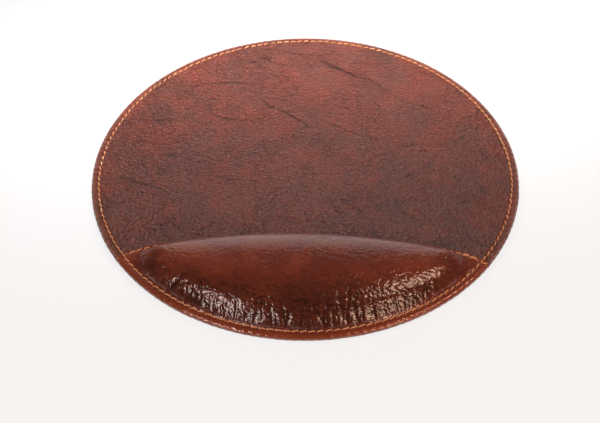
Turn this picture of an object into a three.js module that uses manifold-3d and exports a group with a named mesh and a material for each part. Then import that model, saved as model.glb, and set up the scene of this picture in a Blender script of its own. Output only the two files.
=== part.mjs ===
// A round leather mouse pad with a padded wrist rest sewn into its near side.
// Millimetres, +Z up. The origin is the middle of the underside, on the desk.
// +Y points away from the user.
import * as THREE from "three";
import { mergeVertices } from "three/addons/utils/BufferGeometryUtils.js";
import Module from "manifold-3d";

const wasm = await Module();
wasm.setup();

// Driving dimensions of the flat pad
const PAD_DIAMETER = 240; // over the rolled leather rim
const BASE_THICKNESS = 1.0; // suede sheet under the pad
const BASE_INSET = 2.2; // suede edge, inwards from the rim
const TURNED_THICKNESS = 0.7; // border of the top leather, pared thin and turned under the board
const TURNED_WIDTH = 14; // that border's inner edge, inwards from the rim
const BOARD_THICKNESS = 1.5; // stiff board that the leather is turned over
const LEATHER_THICKNESS = 1.2; // both top leathers
const GLUE_LINE = 0.1; // film of adhesive between flat layers
const FIT_GAP = 0.3; // clearance where one piece is shaped round another

// Driving dimensions of the wrist rest
const REST_DEPTH = 64.8; // edge seam to rear seam, in the middle
const BOW_RADIUS = 335; // rear seam, along its long middle stretch
const BOW_HALF_WIDTH = 74; // that stretch, from the middle to each side
const END_RADIUS = 70; // rear seam, where it turns down to the edge seam
const CROWN_HEIGHT = 13; // cushion above the flat leather
const CROWN_LAND = 0.1; // flat leather between a seam's groove and the foot of the cushion
const CROWN_TAPER = 1.0; // power by which the cushion gets lower as it gets narrower
const CROWN_FLATNESS = 2.4; // power across the cushion: 2 is an ellipse, more is a flatter top
const CROWN_FULLNESS = 0.45; // power of the sides: 1 is a slack slope, 0.5 is a tight bolster
const FOAM_FEATHER = 0.5; // least thickness of the foam, at its pared tips

// Driving dimensions of the lapped rear seam
const FOLD_MARGIN = 1.5; // folded edge of the cover, behind the rear seam
const ALLOWANCE_WIDTH = 2.6; // tongue of the mouse panel, in front of the rear seam
const ALLOWANCE_THICKNESS = 0.6; // that tongue, pared thin
const BORDER_THICKNESS = 1.0; // folded border of the cover, on the tongue
const LAP_LAND = 0.65; // flat leather between the edge seam's groove and the end of the lap

// Driving dimensions of the stitching
const STITCH_INSET = 4.2; // edge seam, inwards from the rim
const STITCH_LENGTH = 4.2;
const NEEDLE_DIAMETER = 0.7; // top thread
const BOBBIN_DIAMETER = 0.5; // bottom thread
const GROOVE_DEPTH = 0.6; // valley that the top thread pulls into the leather
const STITCH_RISE = 0.45; // top thread, from needle hole to the middle of a stitch
const BOBBIN_RISE = 0.15; // bottom thread, pulled up at each needle hole
const THREAD_SEAT = 0.05; // thread above the floor of its groove
const THREAD_GAP = 1.2; // cut ends of the edge thread, apart
const HOLE_SHARPNESS = 4; // power that keeps the dip of a stitch close to its hole

// Facets
const ROUND_STEPS = 72; // round the pad
const RIM_STEPS = 4; // round the rolled rim
const ARC_STEPS = 4; // to each half of an arc in an outline
const CROWN_ROWS = 22; // along the cushion
const CROWN_COLUMNS = 10; // across the cushion
const NEEDLE_SIDES = 4;
const NEEDLE_STEPS = 3; // to a stitch
const BOBBIN_SIDES = 3;
const BOBBIN_STEPS = 2; // to a stitch
const SAMPLES_PER_STITCH = 12; // when the length along a thread is measured
const CUT_PAST = 5; // a cutter, beyond what it cuts
const MERGE_DISTANCE = 1e-4;
const SLOPE_STEP = 0.01; // distance over which the cushion's slope is measured

// Heights, from the desk up
const turnedBottom = BASE_THICKNESS + GLUE_LINE;
const turnedTop = turnedBottom + TURNED_THICKNESS;
const boardBottom = turnedTop + GLUE_LINE;
const boardTop = boardBottom + BOARD_THICKNESS;
const leatherBottom = boardTop + GLUE_LINE;
const leatherTop = leatherBottom + LEATHER_THICKNESS;
const tongueTop = leatherBottom + ALLOWANCE_THICKNESS;
const lapBottom = tongueTop + GLUE_LINE;
const lapTop = lapBottom + BORDER_THICKNESS;
const cutTop = leatherTop + CROWN_HEIGHT + CUT_PAST;

// Outlines seen from above: the edge seam is a circle round the origin
const rimRadius = PAD_DIAMETER / 2;
const seamRadius = rimRadius - STITCH_INSET;
const boardRadius = rimRadius - LEATHER_THICKNESS - FIT_GAP;
const turnedRadius = rimRadius - TURNED_WIDTH;
const needleGroove = NEEDLE_DIAMETER + 2 * FIT_GAP;
const bobbinGroove = BOBBIN_DIAMETER + 2 * FIT_GAP;
const bobbinDepth = BOBBIN_DIAMETER + BOBBIN_RISE + 2 * THREAD_SEAT;
const grooveReach = needleGroove / 2 + FIT_GAP; // seam to the lip of its groove
const crownInset = grooveReach + CROWN_LAND; // foot of the cushion, inwards from its seams
const foamInset = ALLOWANCE_WIDTH + 2 * FIT_GAP; // edge of the foam, clear of the tongue
const lapRadius = seamRadius - grooveReach - LAP_LAND;

// The rear seam is a long arc round (0, bowY).
// It runs on at each side into an end arc, round (endX, endY) on the right and its mirror image on the left.
// Angles along it are measured from straight ahead, +Y.
const bowAngle = Math.asin(BOW_HALF_WIDTH / BOW_RADIUS);
const bowY = REST_DEPTH - seamRadius - BOW_RADIUS;
const endX = (BOW_RADIUS - END_RADIUS) * Math.sin(bowAngle);
const endY = bowY + (BOW_RADIUS - END_RADIUS) * Math.cos(bowAngle);

// Where the right end arc, moved out by an offset, meets a circle round the origin
function endCrossing(offset, radius) {
  const distance = Math.hypot(endX, endY);
  const along = (distance ** 2 + radius ** 2 - (END_RADIUS + offset) ** 2) / (2 * distance);
  const across = Math.sqrt(radius ** 2 - along ** 2);
  const point = new THREE.Vector2(along * endX - across * endY, along * endY + across * endX);
  return point.divideScalar(distance);
}

function endAngle(offset, radius) {
  const point = endCrossing(offset, radius);
  return Math.atan2(point.x - endX, point.y - endY);
}

const lapAngle = endAngle(0, lapRadius);
const farAngle = endAngle(0, rimRadius + CUT_PAST);

// Closed geometry to a solid that can be joined and cut, and back again
function solid(geometry) {
  const bare = new THREE.BufferGeometry();
  bare.setAttribute("position", geometry.getAttribute("position"));
  bare.setIndex(geometry.index);
  const merged = mergeVertices(bare, MERGE_DISTANCE);
  const corners = merged.index.array;
  const triangles = [];
  for (let i = 0; i < corners.length; i += 3) {
    const [a, b, c] = corners.slice(i, i + 3);
    if (a !== b && b !== c && c !== a) triangles.push(a, b, c);
  }
  return new wasm.Manifold(
    new wasm.Mesh({
      numProp: 3,
      vertProperties: merged.getAttribute("position").array,
      triVerts: new Uint32Array(triangles),
    }),
  );
}

function geometryOf(body) {
  const mesh = body.getMesh();
  const geometry = new THREE.BufferGeometry();
  geometry.setAttribute("position", new THREE.BufferAttribute(mesh.vertProperties, 3));
  geometry.setIndex(new THREE.BufferAttribute(mesh.triVerts, 1));
  return geometry;
}

// A profile of [radius, height] points, turned once round the Z axis
function revolve(profile) {
  const points = profile.map(([radius, height]) => new THREE.Vector2(radius, height));
  return solid(new THREE.LatheGeometry(points, ROUND_STEPS).rotateX(Math.PI / 2));
}

function disc(radius, bottom, top) {
  return revolve([
    [0, bottom],
    [radius, bottom],
    [radius, top],
    [0, top],
  ]);
}

// Points of a half-round edge, from its foot at the bottom round to the top
function halfRound(centreRadius, reach, bottom, top) {
  const middle = (bottom + top) / 2;
  const half = (top - bottom) / 2;
  return Array.from({ length: RIM_STEPS + 1 }, (_, i) => {
    const angle = (i / RIM_STEPS - 0.5) * Math.PI;
    return [centreRadius + reach * Math.cos(angle), middle + half * Math.sin(angle)];
  });
}

// The valley of the edge seam, outer lip first
function seamValley(width, lip, floor) {
  const half = width / 2;
  return [
    [seamRadius + half + FIT_GAP, lip],
    [seamRadius + half, floor],
    [seamRadius - half, floor],
    [seamRadius - half - FIT_GAP, lip],
  ];
}

function extrude(shape, bottom, top) {
  const options = { depth: top - bottom, bevelEnabled: false, curveSegments: ARC_STEPS };
  return solid(new THREE.ExtrudeGeometry(shape, options).translate(0, 0, bottom));
}

// The rear seam's line, moved out by an offset, drawn from right to left or back again
function drawSeam(shape, offset, lastAngle, fromRight) {
  const ahead = Math.PI / 2;
  const arcs = [
    [endX, endY, END_RADIUS, ahead - lastAngle, ahead - bowAngle],
    [0, bowY, BOW_RADIUS, ahead - bowAngle, ahead + bowAngle],
    [-endX, endY, END_RADIUS, ahead + bowAngle, ahead + lastAngle],
  ];
  if (!fromRight) arcs.reverse();
  for (const [x, y, radius, right, left] of arcs) {
    const [from, to] = fromRight ? [right, left] : [left, right];
    shape.absarc(x, y, radius + offset, from, to, !fromRight);
  }
}

// A band that follows the rear seam, from one offset of its line to another
function seamBand(inner, outer, bottom, top, lastAngle) {
  const shape = new THREE.Shape();
  drawSeam(shape, outer, lastAngle, true);
  drawSeam(shape, inner, lastAngle, false);
  return extrude(shape, bottom, top);
}

// Everything on the user's side of the rear seam, pushed back by an offset
function restZone(offset) {
  const reach = rimRadius + CUT_PAST;
  const shape = new THREE.Shape();
  drawSeam(shape, offset, farAngle, true);
  shape.lineTo(-reach, -reach);
  shape.lineTo(reach, -reach);
  return extrude(shape, -CUT_PAST, cutTop);
}

// The cushion's outline at a distance x to the side
function rearEdge(x, inset) {
  const side = Math.abs(x);
  if (side < (BOW_RADIUS - inset) * Math.sin(bowAngle)) {
    return bowY + Math.sqrt((BOW_RADIUS - inset) ** 2 - side ** 2);
  }
  return endY + Math.sqrt((END_RADIUS - inset) ** 2 - (side - endX) ** 2);
}

function frontEdge(x, inset) {
  return -Math.sqrt((seamRadius - inset) ** 2 - x ** 2);
}

// Height of the cushion's leather: a bolster across, which gets lower towards its tips
const crownDepth = rearEdge(0, crownInset) - frontEdge(0, crownInset);

function crownTop(x, y) {
  const rear = rearEdge(x, crownInset);
  const depth = Math.max(rear - frontEdge(x, crownInset), MERGE_DISTANCE);
  const across = THREE.MathUtils.clamp((2 * (rear - y)) / depth - 1, -1, 1);
  const height = CROWN_HEIGHT * (depth / crownDepth) ** CROWN_TAPER;
  return leatherTop + height * (1 - Math.abs(across) ** CROWN_FLATNESS) ** CROWN_FULLNESS;
}

// Height of the foam: the leather's thickness and the clearance are taken square to the slope
function foamTop(x, y) {
  const slopeX = (crownTop(x + SLOPE_STEP, y) - crownTop(x - SLOPE_STEP, y)) / (2 * SLOPE_STEP);
  const slopeY = (crownTop(x, y + SLOPE_STEP) - crownTop(x, y - SLOPE_STEP)) / (2 * SLOPE_STEP);
  const cover = (LEATHER_THICKNESS + FIT_GAP) * Math.hypot(1, slopeX, slopeY);
  return Math.max(crownTop(x, y) - cover, leatherBottom + FOAM_FEATHER);
}

// A closed block over the cushion's outline, with a flat floor and a top that follows a height function
function cushionBlock(inset, floor, topAt) {
  const tipX = endCrossing(-inset, seamRadius - inset).x;
  const rowPoints = CROWN_COLUMNS + 3;
  const positions = [];
  for (let row = 0; row <= CROWN_ROWS; row++) {
    const x = tipX * Math.sin((row / CROWN_ROWS - 0.5) * Math.PI);
    const rear = rearEdge(x, inset);
    const front = frontEdge(x, inset);
    positions.push(x, rear, floor);
    for (let column = 0; column <= CROWN_COLUMNS; column++) {
      const share = (1 - Math.cos((Math.PI * column) / CROWN_COLUMNS)) / 2;
      const y = THREE.MathUtils.lerp(rear, front, share);
      positions.push(x, y, topAt(x, y));
    }
    positions.push(x, front, floor);
  }
  // Each row of points goes up the rear side, over the top and down the front side, and the floor closes it
  const corners = [];
  for (let row = 0; row < CROWN_ROWS; row++) {
    for (let point = 0; point < rowPoints; point++) {
      const beside = (point + 1) % rowPoints;
      const [a, b] = [row * rowPoints + point, row * rowPoints + beside];
      const [c, d] = [b + rowPoints, a + rowPoints];
      corners.push(a, b, c, a, c, d);
    }
  }
  const geometry = new THREE.BufferGeometry();
  geometry.setAttribute("position", new THREE.Float32BufferAttribute(positions, 3));
  geometry.setIndex(corners);
  return solid(geometry);
}

// The leather skin of the whole pad: flat on top, rolled round the board's edge and turned under it
function leatherSkin() {
  const rimFoot = (leatherTop - turnedBottom) / 2;
  const boardFoot = boardRadius - BOARD_THICKNESS / 2;
  const pocket = halfRound(boardFoot, boardRadius + FIT_GAP - boardFoot, turnedTop, leatherBottom);
  return revolve([
    [0, leatherBottom],
    ...pocket.reverse(),
    [turnedRadius, turnedTop],
    [turnedRadius, turnedBottom],
    ...halfRound(rimRadius - rimFoot, rimFoot, turnedBottom, leatherTop),
    ...seamValley(needleGroove, leatherTop, leatherTop - GROOVE_DEPTH),
    [0, leatherTop],
  ]);
}

// The flat leather behind the rest, with the pared tongue that runs under the cover's folded edge
function mousePanel(skin) {
  const tongue = seamBand(
    -ALLOWANCE_WIDTH,
    FOLD_MARGIN + FIT_GAP + ALLOWANCE_WIDTH,
    leatherBottom,
    tongueTop,
    farAngle,
  ).intersect(disc(lapRadius, 0, cutTop));
  return skin.subtract(restZone(FOLD_MARGIN + FIT_GAP)).add(tongue);
}

// The leather over the foam: one skin from its folded rear edge, over the crown, to the rolled front rim
function wristRestCover(skin) {
  const crown = cushionBlock(crownInset, (leatherBottom + leatherTop) / 2, crownTop);
  const border = seamBand(-2 * crownInset, FOLD_MARGIN, lapBottom, lapTop, farAngle);
  const lap = border.intersect(disc(lapRadius, 0, cutTop));
  const tonguePocket = seamBand(
    -foamInset - FIT_GAP,
    FOLD_MARGIN + CUT_PAST,
    leatherBottom - CUT_PAST,
    lapBottom,
    farAngle,
  ).intersect(disc(lapRadius + FIT_GAP, leatherBottom - GLUE_LINE, cutTop));
  const pocketTop = (x, y) => foamTop(x, y) + FIT_GAP;
  const foamPocket = cushionBlock(foamInset - FIT_GAP, leatherBottom - GLUE_LINE, pocketTop);
  const groove = seamBand(-needleGroove / 2, needleGroove / 2, lapTop - GROOVE_DEPTH, cutTop, lapAngle);
  const body = skin.intersect(restZone(FOLD_MARGIN)).add(crown);
  return body.subtract(tonguePocket).add(lap).subtract(foamPocket).subtract(groove);
}

function coreBoard() {
  const foot = boardRadius - BOARD_THICKNESS / 2;
  const board = revolve([
    [0, boardBottom],
    ...halfRound(foot, BOARD_THICKNESS / 2, boardBottom, boardTop),
    [0, boardTop],
  ]);
  const half = bobbinGroove / 2;
  return board.subtract(seamBand(-half, half, boardTop - bobbinDepth, boardTop + CUT_PAST, lapAngle));
}

// The sheet that fills the step inside the turned border
function infillSheet() {
  return disc(turnedRadius - FIT_GAP, turnedBottom, turnedTop);
}

function baseSheet() {
  const radius = rimRadius - BASE_INSET;
  return revolve([
    [0, 0],
    ...seamValley(bobbinGroove, 0, bobbinDepth).reverse(),
    [radius, 0],
    [radius, BASE_THICKNESS],
    [0, BASE_THICKNESS],
  ]);
}

// The middle line of a thread: along a seam, with a dip or a pull at every needle hole
class StitchLine extends THREE.Curve {
  constructor(seam, level, pull) {
    super();
    Object.assign(this, { seam, level, pull });
    this.stitches = Math.round(seam.length / STITCH_LENGTH);
    this.arcLengthDivisions = this.stitches * SAMPLES_PER_STITCH;
  }

  getPoint(share, target = new THREE.Vector3()) {
    const { x, y } = this.seam.at(share * this.seam.length);
    const hole = Math.abs(Math.cos(Math.PI * this.stitches * share)) ** HOLE_SHARPNESS;
    return target.set(x, y, this.level + this.pull * hole);
  }
}

function onArc(centreX, centreY, radius, angle) {
  return new THREE.Vector2(centreX + radius * Math.sin(angle), centreY + radius * Math.cos(angle));
}

// The edge seam starts and ends at the rest's right tip
const edgeStart = Math.PI / 2 - endCrossing(0, seamRadius).angle() + THREAD_GAP / seamRadius / 2;
const edgeSeam = {
  length: 2 * Math.PI * seamRadius - THREAD_GAP,
  at: (distance) => onArc(0, 0, seamRadius, edgeStart + distance / seamRadius),
};

// The rear seam runs from one end of the lap to the other
const bowHalf = BOW_RADIUS * bowAngle;
const endHalf = END_RADIUS * (lapAngle - bowAngle) - NEEDLE_DIAMETER;
const rearSeam = {
  length: 2 * (bowHalf + endHalf),
  at: (distance) => {
    const signed = distance - bowHalf - endHalf;
    const side = Math.sign(signed);
    const past = Math.abs(signed) - bowHalf;
    if (past < 0) return onArc(0, bowY, BOW_RADIUS, signed / BOW_RADIUS);
    return onArc(side * endX, endY, END_RADIUS, side * (bowAngle + past / END_RADIUS));
  },
};

function thread(line, diameter, sides, stepsPerStitch) {
  const ring = Array.from({ length: sides }, (_, i) => {
    const angle = (2 * Math.PI * i) / sides;
    return new THREE.Vector2(Math.cos(angle), Math.sin(angle)).multiplyScalar(diameter / 2);
  });
  const options = { steps: line.stitches * stepsPerStitch, extrudePath: line, bevelEnabled: false };
  return new THREE.ExtrudeGeometry(new THREE.Shape(ring), options);
}

// The top thread rises out of its groove between the needle holes
function needleThread(seam, surface) {
  const level = surface - GROOVE_DEPTH + THREAD_SEAT + NEEDLE_DIAMETER / 2 + STITCH_RISE;
  return thread(new StitchLine(seam, level, -STITCH_RISE), NEEDLE_DIAMETER, NEEDLE_SIDES, NEEDLE_STEPS);
}

// The bottom thread lies along the lower face of the seam and is pulled up at the needle holes
function bobbinThread(seam, surface) {
  const level = surface + THREAD_SEAT + BOBBIN_DIAMETER / 2;
  return thread(new StitchLine(seam, level, BOBBIN_RISE), BOBBIN_DIAMETER, BOBBIN_SIDES, BOBBIN_STEPS);
}

// Materials
const waxedLeather = new THREE.MeshStandardMaterial({ color: 0x6a4039, roughness: 0.55, metalness: 0 });
const polishedLeather = new THREE.MeshStandardMaterial({ color: 0x5a281e, roughness: 0.32, metalness: 0 });
const orangeThread = new THREE.MeshStandardMaterial({ color: 0xc47a34, roughness: 0.6, metalness: 0 });
const darkSuede = new THREE.MeshStandardMaterial({ color: 0x3a2a22, roughness: 0.95, metalness: 0 });
const greyBoard = new THREE.MeshStandardMaterial({ color: 0x8f8170, roughness: 0.9, metalness: 0 });
const paleFoam = new THREE.MeshStandardMaterial({ color: 0xd9cfae, roughness: 0.95, metalness: 0 });

function piece(name, geometry, material) {
  const mesh = new THREE.Mesh(geometry, material);
  mesh.name = name;
  return mesh;
}

const skin = leatherSkin();

const layers = new THREE.Group();
layers.add(
  piece("base_sheet", geometryOf(baseSheet()), darkSuede),
  piece("infill_sheet", geometryOf(infillSheet()), greyBoard),
  piece("core_board", geometryOf(coreBoard()), greyBoard),
  piece("mouse_panel", geometryOf(mousePanel(skin)), waxedLeather),
);

const wristRest = new THREE.Group();
wristRest.add(
  piece("wrist_rest_foam", geometryOf(cushionBlock(foamInset, leatherBottom, foamTop)), paleFoam),
  piece("wrist_rest_cover", geometryOf(wristRestCover(skin)), polishedLeather),
);

const stitching = new THREE.Group();
stitching.add(
  piece("edge_needle_thread", needleThread(edgeSeam, leatherTop), orangeThread),
  piece("edge_bobbin_thread", bobbinThread(edgeSeam, 0), orangeThread),
  piece("rest_needle_thread", needleThread(rearSeam, lapTop), orangeThread),
  piece("rest_bobbin_thread", bobbinThread(rearSeam, boardTop - bobbinDepth), orangeThread),
);

const mousePad = new THREE.Group();
mousePad.add(layers, wristRest, stitching);

export default mousePad;
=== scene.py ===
# %% [markdown]
# # A round leather mouse pad with a padded wrist rest
# The pad is a stiff board with leather turned over its edge, as on a bound book. A crescent of the
# leather is padded with foam, so that the wrist has something to rest on. Two seams in orange thread
# hold it together. This lesson dresses the plain measured solids of the pad in their real surfaces.
# Everything here is in metres, in the frame of those solids.

# %% The measured frame
import itertools
import math

import bpy
import numpy as np
from mathutils import Matrix, Vector


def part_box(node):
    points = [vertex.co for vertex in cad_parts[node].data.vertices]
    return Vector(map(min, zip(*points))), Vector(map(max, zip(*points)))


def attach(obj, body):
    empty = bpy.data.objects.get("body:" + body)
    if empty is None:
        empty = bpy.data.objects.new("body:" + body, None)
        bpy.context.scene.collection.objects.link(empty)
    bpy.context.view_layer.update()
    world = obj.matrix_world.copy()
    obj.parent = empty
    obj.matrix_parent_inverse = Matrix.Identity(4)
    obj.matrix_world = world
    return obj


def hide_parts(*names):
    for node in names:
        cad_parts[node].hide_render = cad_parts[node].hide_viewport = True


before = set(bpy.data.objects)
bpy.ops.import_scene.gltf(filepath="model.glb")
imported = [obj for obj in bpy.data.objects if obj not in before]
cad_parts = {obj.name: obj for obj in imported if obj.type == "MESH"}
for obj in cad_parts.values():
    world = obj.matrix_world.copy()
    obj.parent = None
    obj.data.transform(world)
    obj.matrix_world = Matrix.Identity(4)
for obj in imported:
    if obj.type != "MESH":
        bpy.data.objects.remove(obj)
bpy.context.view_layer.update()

print("solids in the frame:", ", ".join(sorted(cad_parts)))

# %% [markdown]
# ## Sizes
# Each layer's height and radius is read from the box of its solid, so that a new surface lies where
# the solid lies. Only what a box can't tell, such as the arcs of the rear seam, is written down again.

# %% Heights and radii of the layers
MM = 0.001
FIT_GAP = 0.3 * MM
SEAM_INSET = 4.2 * MM
HALF_FOLD = 0.5 * MM

base_low, base_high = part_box("base_sheet")
infill_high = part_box("infill_sheet")[1]
panel_low, panel_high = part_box("mouse_panel")
foam_low, foam_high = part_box("wrist_rest_foam")
cover_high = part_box("wrist_rest_cover")[1]

RIM_RADIUS = panel_high.x
LEATHER_TOP = panel_high.z
LEATHER_BOTTOM = foam_low.z
TURNED_TOP = infill_high.z
TURNED_BOTTOM = panel_low.z
TURNED_RADIUS = infill_high.x + FIT_GAP
CROWN_HEIGHT = cover_high.z - LEATHER_TOP
SEAM_RADIUS = RIM_RADIUS - SEAM_INSET
LAP_TOP = LEATHER_TOP + HALF_FOLD
LAP_BOTTOM = LEATHER_TOP - HALF_FOLD
print(f"pad {2 * RIM_RADIUS / MM:.1f} mm across, flat leather {LEATHER_TOP / MM:.1f} mm above the desk")

# %% [markdown]
# ## The rear seam
# Seen from above, the cushion is a crescent between two seams. The edge seam is a circle. The rear seam
# is a long shallow arc that turns down at each end in a tighter arc. A point on it is found from its
# distance along the seam, so that stitches and leather can be spaced evenly.

# %% The three arcs of the rear seam
REST_DEPTH = 64.8 * MM
BOW_RADIUS = 335 * MM
BOW_HALF_WIDTH = 74 * MM
END_RADIUS = 70 * MM

bow_angle = math.asin(BOW_HALF_WIDTH / BOW_RADIUS)
bow_half = BOW_RADIUS * bow_angle
bow_y = REST_DEPTH - SEAM_RADIUS - BOW_RADIUS
end_x = (BOW_RADIUS - END_RADIUS) * math.sin(bow_angle)
end_y = bow_y + (BOW_RADIUS - END_RADIUS) * math.cos(bow_angle)


def rear_seam(along, back=0.0):
    """Points on the rear seam, moved back, at signed distances from its middle."""
    side = np.sign(along)
    past = np.maximum(np.abs(along) - bow_half, 0)
    angle = np.clip(along, -bow_half, bow_half) / BOW_RADIUS + side * past / END_RADIUS
    centre_x = np.where(past > 0, side * end_x, 0)
    centre_y = np.where(past > 0, end_y, bow_y)
    radius = np.where(past > 0, END_RADIUS, BOW_RADIUS) + back
    return np.stack([centre_x + radius * np.sin(angle), centre_y + radius * np.cos(angle)], -1)


def seam_end(back, radius):
    """How far along the rear seam, moved back, it meets a circle round the pad's middle."""
    reach = math.hypot(end_x, end_y)
    along = (reach**2 + radius**2 - (END_RADIUS + back) ** 2) / (2 * reach)
    across = math.sqrt(radius**2 - along**2)
    x = (along * end_x - across * end_y) / reach
    y = (along * end_y + across * end_x) / reach
    return bow_half + END_RADIUS * (math.atan2(x - end_x, y - end_y) - bow_angle)


tip = rear_seam(seam_end(0, SEAM_RADIUS))
print("the seams meet at", np.round(tip / MM, 1), "mm")

# %% [markdown]
# ## Natural unevenness
# Leather is never flat. A Displace modifier with a noise texture could dent it, but the dents here have
# to follow seams and creases. Blender's own noise function works one point at a time, which is slow for
# a hundred thousand points, so this gradient noise works on all the points at once.

# %% Smooth noise for many points
NOISE_GAIN = 1.6

hash_table = np.random.default_rng(11).permutation(256)
lattice_slopes = np.random.default_rng(12).normal(size=(256, 3))
lattice_slopes /= np.linalg.norm(lattice_slopes, axis=1, keepdims=True)


def noise(points, lump, seed=0):
    """Smooth noise of about -1 to 1, with lumps of a given size."""
    place = points / lump + 17.3 * seed
    cell = np.floor(place).astype(int)
    part = place - cell
    fade = part**3 * (part * (part * 6 - 15) + 10)
    total = np.zeros(points.shape[:-1])
    for corner in itertools.product((0, 1), repeat=3):
        key = np.zeros(points.shape[:-1], int)
        weight = np.ones(points.shape[:-1])
        for axis, step in enumerate(corner):
            key = hash_table[(key + cell[..., axis] + step) & 255]
            weight = weight * (fade[..., axis] if step else 1 - fade[..., axis])
        total += weight * ((part - corner) * lattice_slopes[key]).sum(-1)
    return NOISE_GAIN * total


def smooth_step(value, low, high):
    """0 below low, 1 above high, and an even ramp between."""
    share = np.clip((value - low) / (high - low), 0, 1)
    return share * share * (3 - 2 * share)


trial_line = noise(np.linspace(0, 100 * MM, 999)[:, None] * np.ones(3), 5 * MM)
print(f"noise from {trial_line.min():.2f} to {trial_line.max():.2f}")

# %% [markdown]
# ## A sheet of leather as a mesh
# Each piece is put together from grids and strips of points. This class keeps their points, numbers them,
# and weaves faces between the numbers, as a weaver does with threads. So a strip can share the edge points of
# a grid, and the piece has no loose seams. Blender then turns all faces outwards.


# %% Weave points into a mesh
class Sheet:
    """Collects the points and faces of one piece."""

    def __init__(self):
        self.points = []
        self.faces = []
        self.count = 0

    def add(self, points):
        """Keeps points of any layout, and returns their numbers in the same layout."""
        flat = np.asarray(points, float).reshape(-1, 3)
        numbers = self.count + np.arange(len(flat)).reshape(np.shape(points)[:-1])
        self.points.append(flat)
        self.count += len(flat)
        return numbers

    def weave(self, numbers):
        """Faces between neighbours in a grid of point numbers."""
        corners = (numbers[:-1, :-1], numbers[:-1, 1:], numbers[1:, 1:], numbers[1:, :-1])
        self.faces += np.stack(corners, -1).reshape(-1, 4).tolist()

    def close(self, ring):
        """One face round a ring of point numbers."""
        self.faces.append([int(number) for number in ring])

    def make(self, name):
        """The finished mesh object, with its faces turned outwards."""
        mesh = bpy.data.meshes.new(name)
        mesh.from_pydata(np.concatenate(self.points).tolist(), [], self.faces)
        piece = bpy.data.objects.new(name, mesh)
        bpy.context.scene.collection.objects.link(piece)
        bpy.context.view_layer.objects.active = piece
        bpy.ops.object.select_all(action="DESELECT")
        piece.select_set(True)
        bpy.ops.object.mode_set(mode="EDIT")
        bpy.ops.mesh.select_all(action="SELECT")
        bpy.ops.mesh.normals_make_consistent(inside=False)
        bpy.ops.object.mode_set(mode="OBJECT")
        mesh.shade_smooth()
        print(f"{name}: {len(mesh.vertices)} points, {len(mesh.polygons)} faces")
        return piece


# %% [markdown]
# ## A grid in a round outline
# A grid of squares is the best mesh for a surface that is later dented, creased or simulated. The outlines
# here are round, and rings of points round a middle would crowd there. So each grid is first bent into a
# disc and then into its outline.


# %% Fill an outline with a grid
def grid_edge(count):
    """Rows and columns of a square grid's edge, from its first corner all the way round."""
    run = np.arange(count - 1)
    last = np.full(count - 1, count - 1)
    rows = np.concatenate([0 * run, run, last, last - run])
    columns = np.concatenate([run, last, last - run, 0 * run])
    return rows, columns


def fill_outline(loop, middle):
    """A square grid of points that fills an outline, given by as many points as the grid's edge has."""
    count = len(loop) // 4 + 1
    line = np.linspace(-1, 1, count)
    across, up = np.meshgrid(line, line)
    disc = np.stack([across * np.sqrt(1 - up**2 / 2), up * np.sqrt(1 - across**2 / 2)], -1)
    reach = np.hypot(disc[..., 0], disc[..., 1])
    turn = np.arctan2(disc[..., 1], disc[..., 0])
    edge_turn = np.unwrap(turn[grid_edge(count)])
    edge_turn = np.append(edge_turn, edge_turn[0] + 2 * math.pi)
    turn = edge_turn[0] + (turn - edge_turn[0]) % (2 * math.pi)
    closed = np.vstack([loop, loop[:1]])
    target = np.stack([np.interp(turn, edge_turn, closed[:, axis]) for axis in (0, 1)], -1)
    return middle + reach[..., None] * (target - middle)


def polar(radius, angle):
    """Points on circles round the pad's middle."""
    return np.stack([radius * np.cos(angle), radius * np.sin(angle)], -1)


# %% [markdown]
# ## Where the stitches go
# A leather sewing machine makes about six stitches to the inch. The needle's holes are set out here,
# before the leather, because the leather is dented at each hole and pulled into a valley along the seam.

# %% Corners where the rear seam meets the edge
FOLD_MARGIN = 1.5 * MM
FOLD_CLEAR = FOLD_MARGIN + FIT_GAP
PANEL_EDGE = RIM_RADIUS - 9 * MM
CROWN_INSET = 1.05 * MM
FOOT_RADIUS = SEAM_RADIUS - CROWN_INSET

panel_end = seam_end(FOLD_CLEAR, PANEL_EDGE)
panel_corner = rear_seam(panel_end, FOLD_CLEAR)
panel_right = math.atan2(panel_corner[1], panel_corner[0])
panel_left = math.pi - panel_right
crown_end = seam_end(-CROWN_INSET, FOOT_RADIUS)
crown_corner = rear_seam(crown_end, -CROWN_INSET)
crown_right = math.atan2(crown_corner[1], crown_corner[0])
crown_left = -math.pi - crown_right
print("corners at", np.round(panel_corner / MM, 1), "and", np.round(crown_corner / MM, 1), "mm")

# %% Needle holes along both seams
STITCH_LENGTH = 4.2 * MM
LAST_HOLE_INSET = 2.6 * MM

BACK_STITCHES = 3 * round((panel_left - panel_right) * SEAM_RADIUS / STITCH_LENGTH / 3)
FRONT_STITCHES = 4 * round((crown_right - crown_left) * SEAM_RADIUS / STITCH_LENGTH / 4)
back_holes = np.linspace(panel_right, panel_left, BACK_STITCHES + 1)
front_holes = np.linspace(crown_left, crown_right, FRONT_STITCHES + 1)
edge_holes = np.concatenate([back_holes, front_holes + 2 * math.pi])
rear_end = seam_end(0, SEAM_RADIUS - LAST_HOLE_INSET)
REAR_STITCHES = round(2 * rear_end / STITCH_LENGTH)
rear_holes = np.linspace(rear_end, -rear_end, REAR_STITCHES + 1)
print(f"{len(edge_holes)} stitches round the edge, {REAR_STITCHES} along the rear seam")


# %% Distances from the needle holes
def hole_nearness(distance, width):
    """1 at a needle hole and 0 a little way off."""
    return np.exp(-((distance / width) ** 2))


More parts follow.
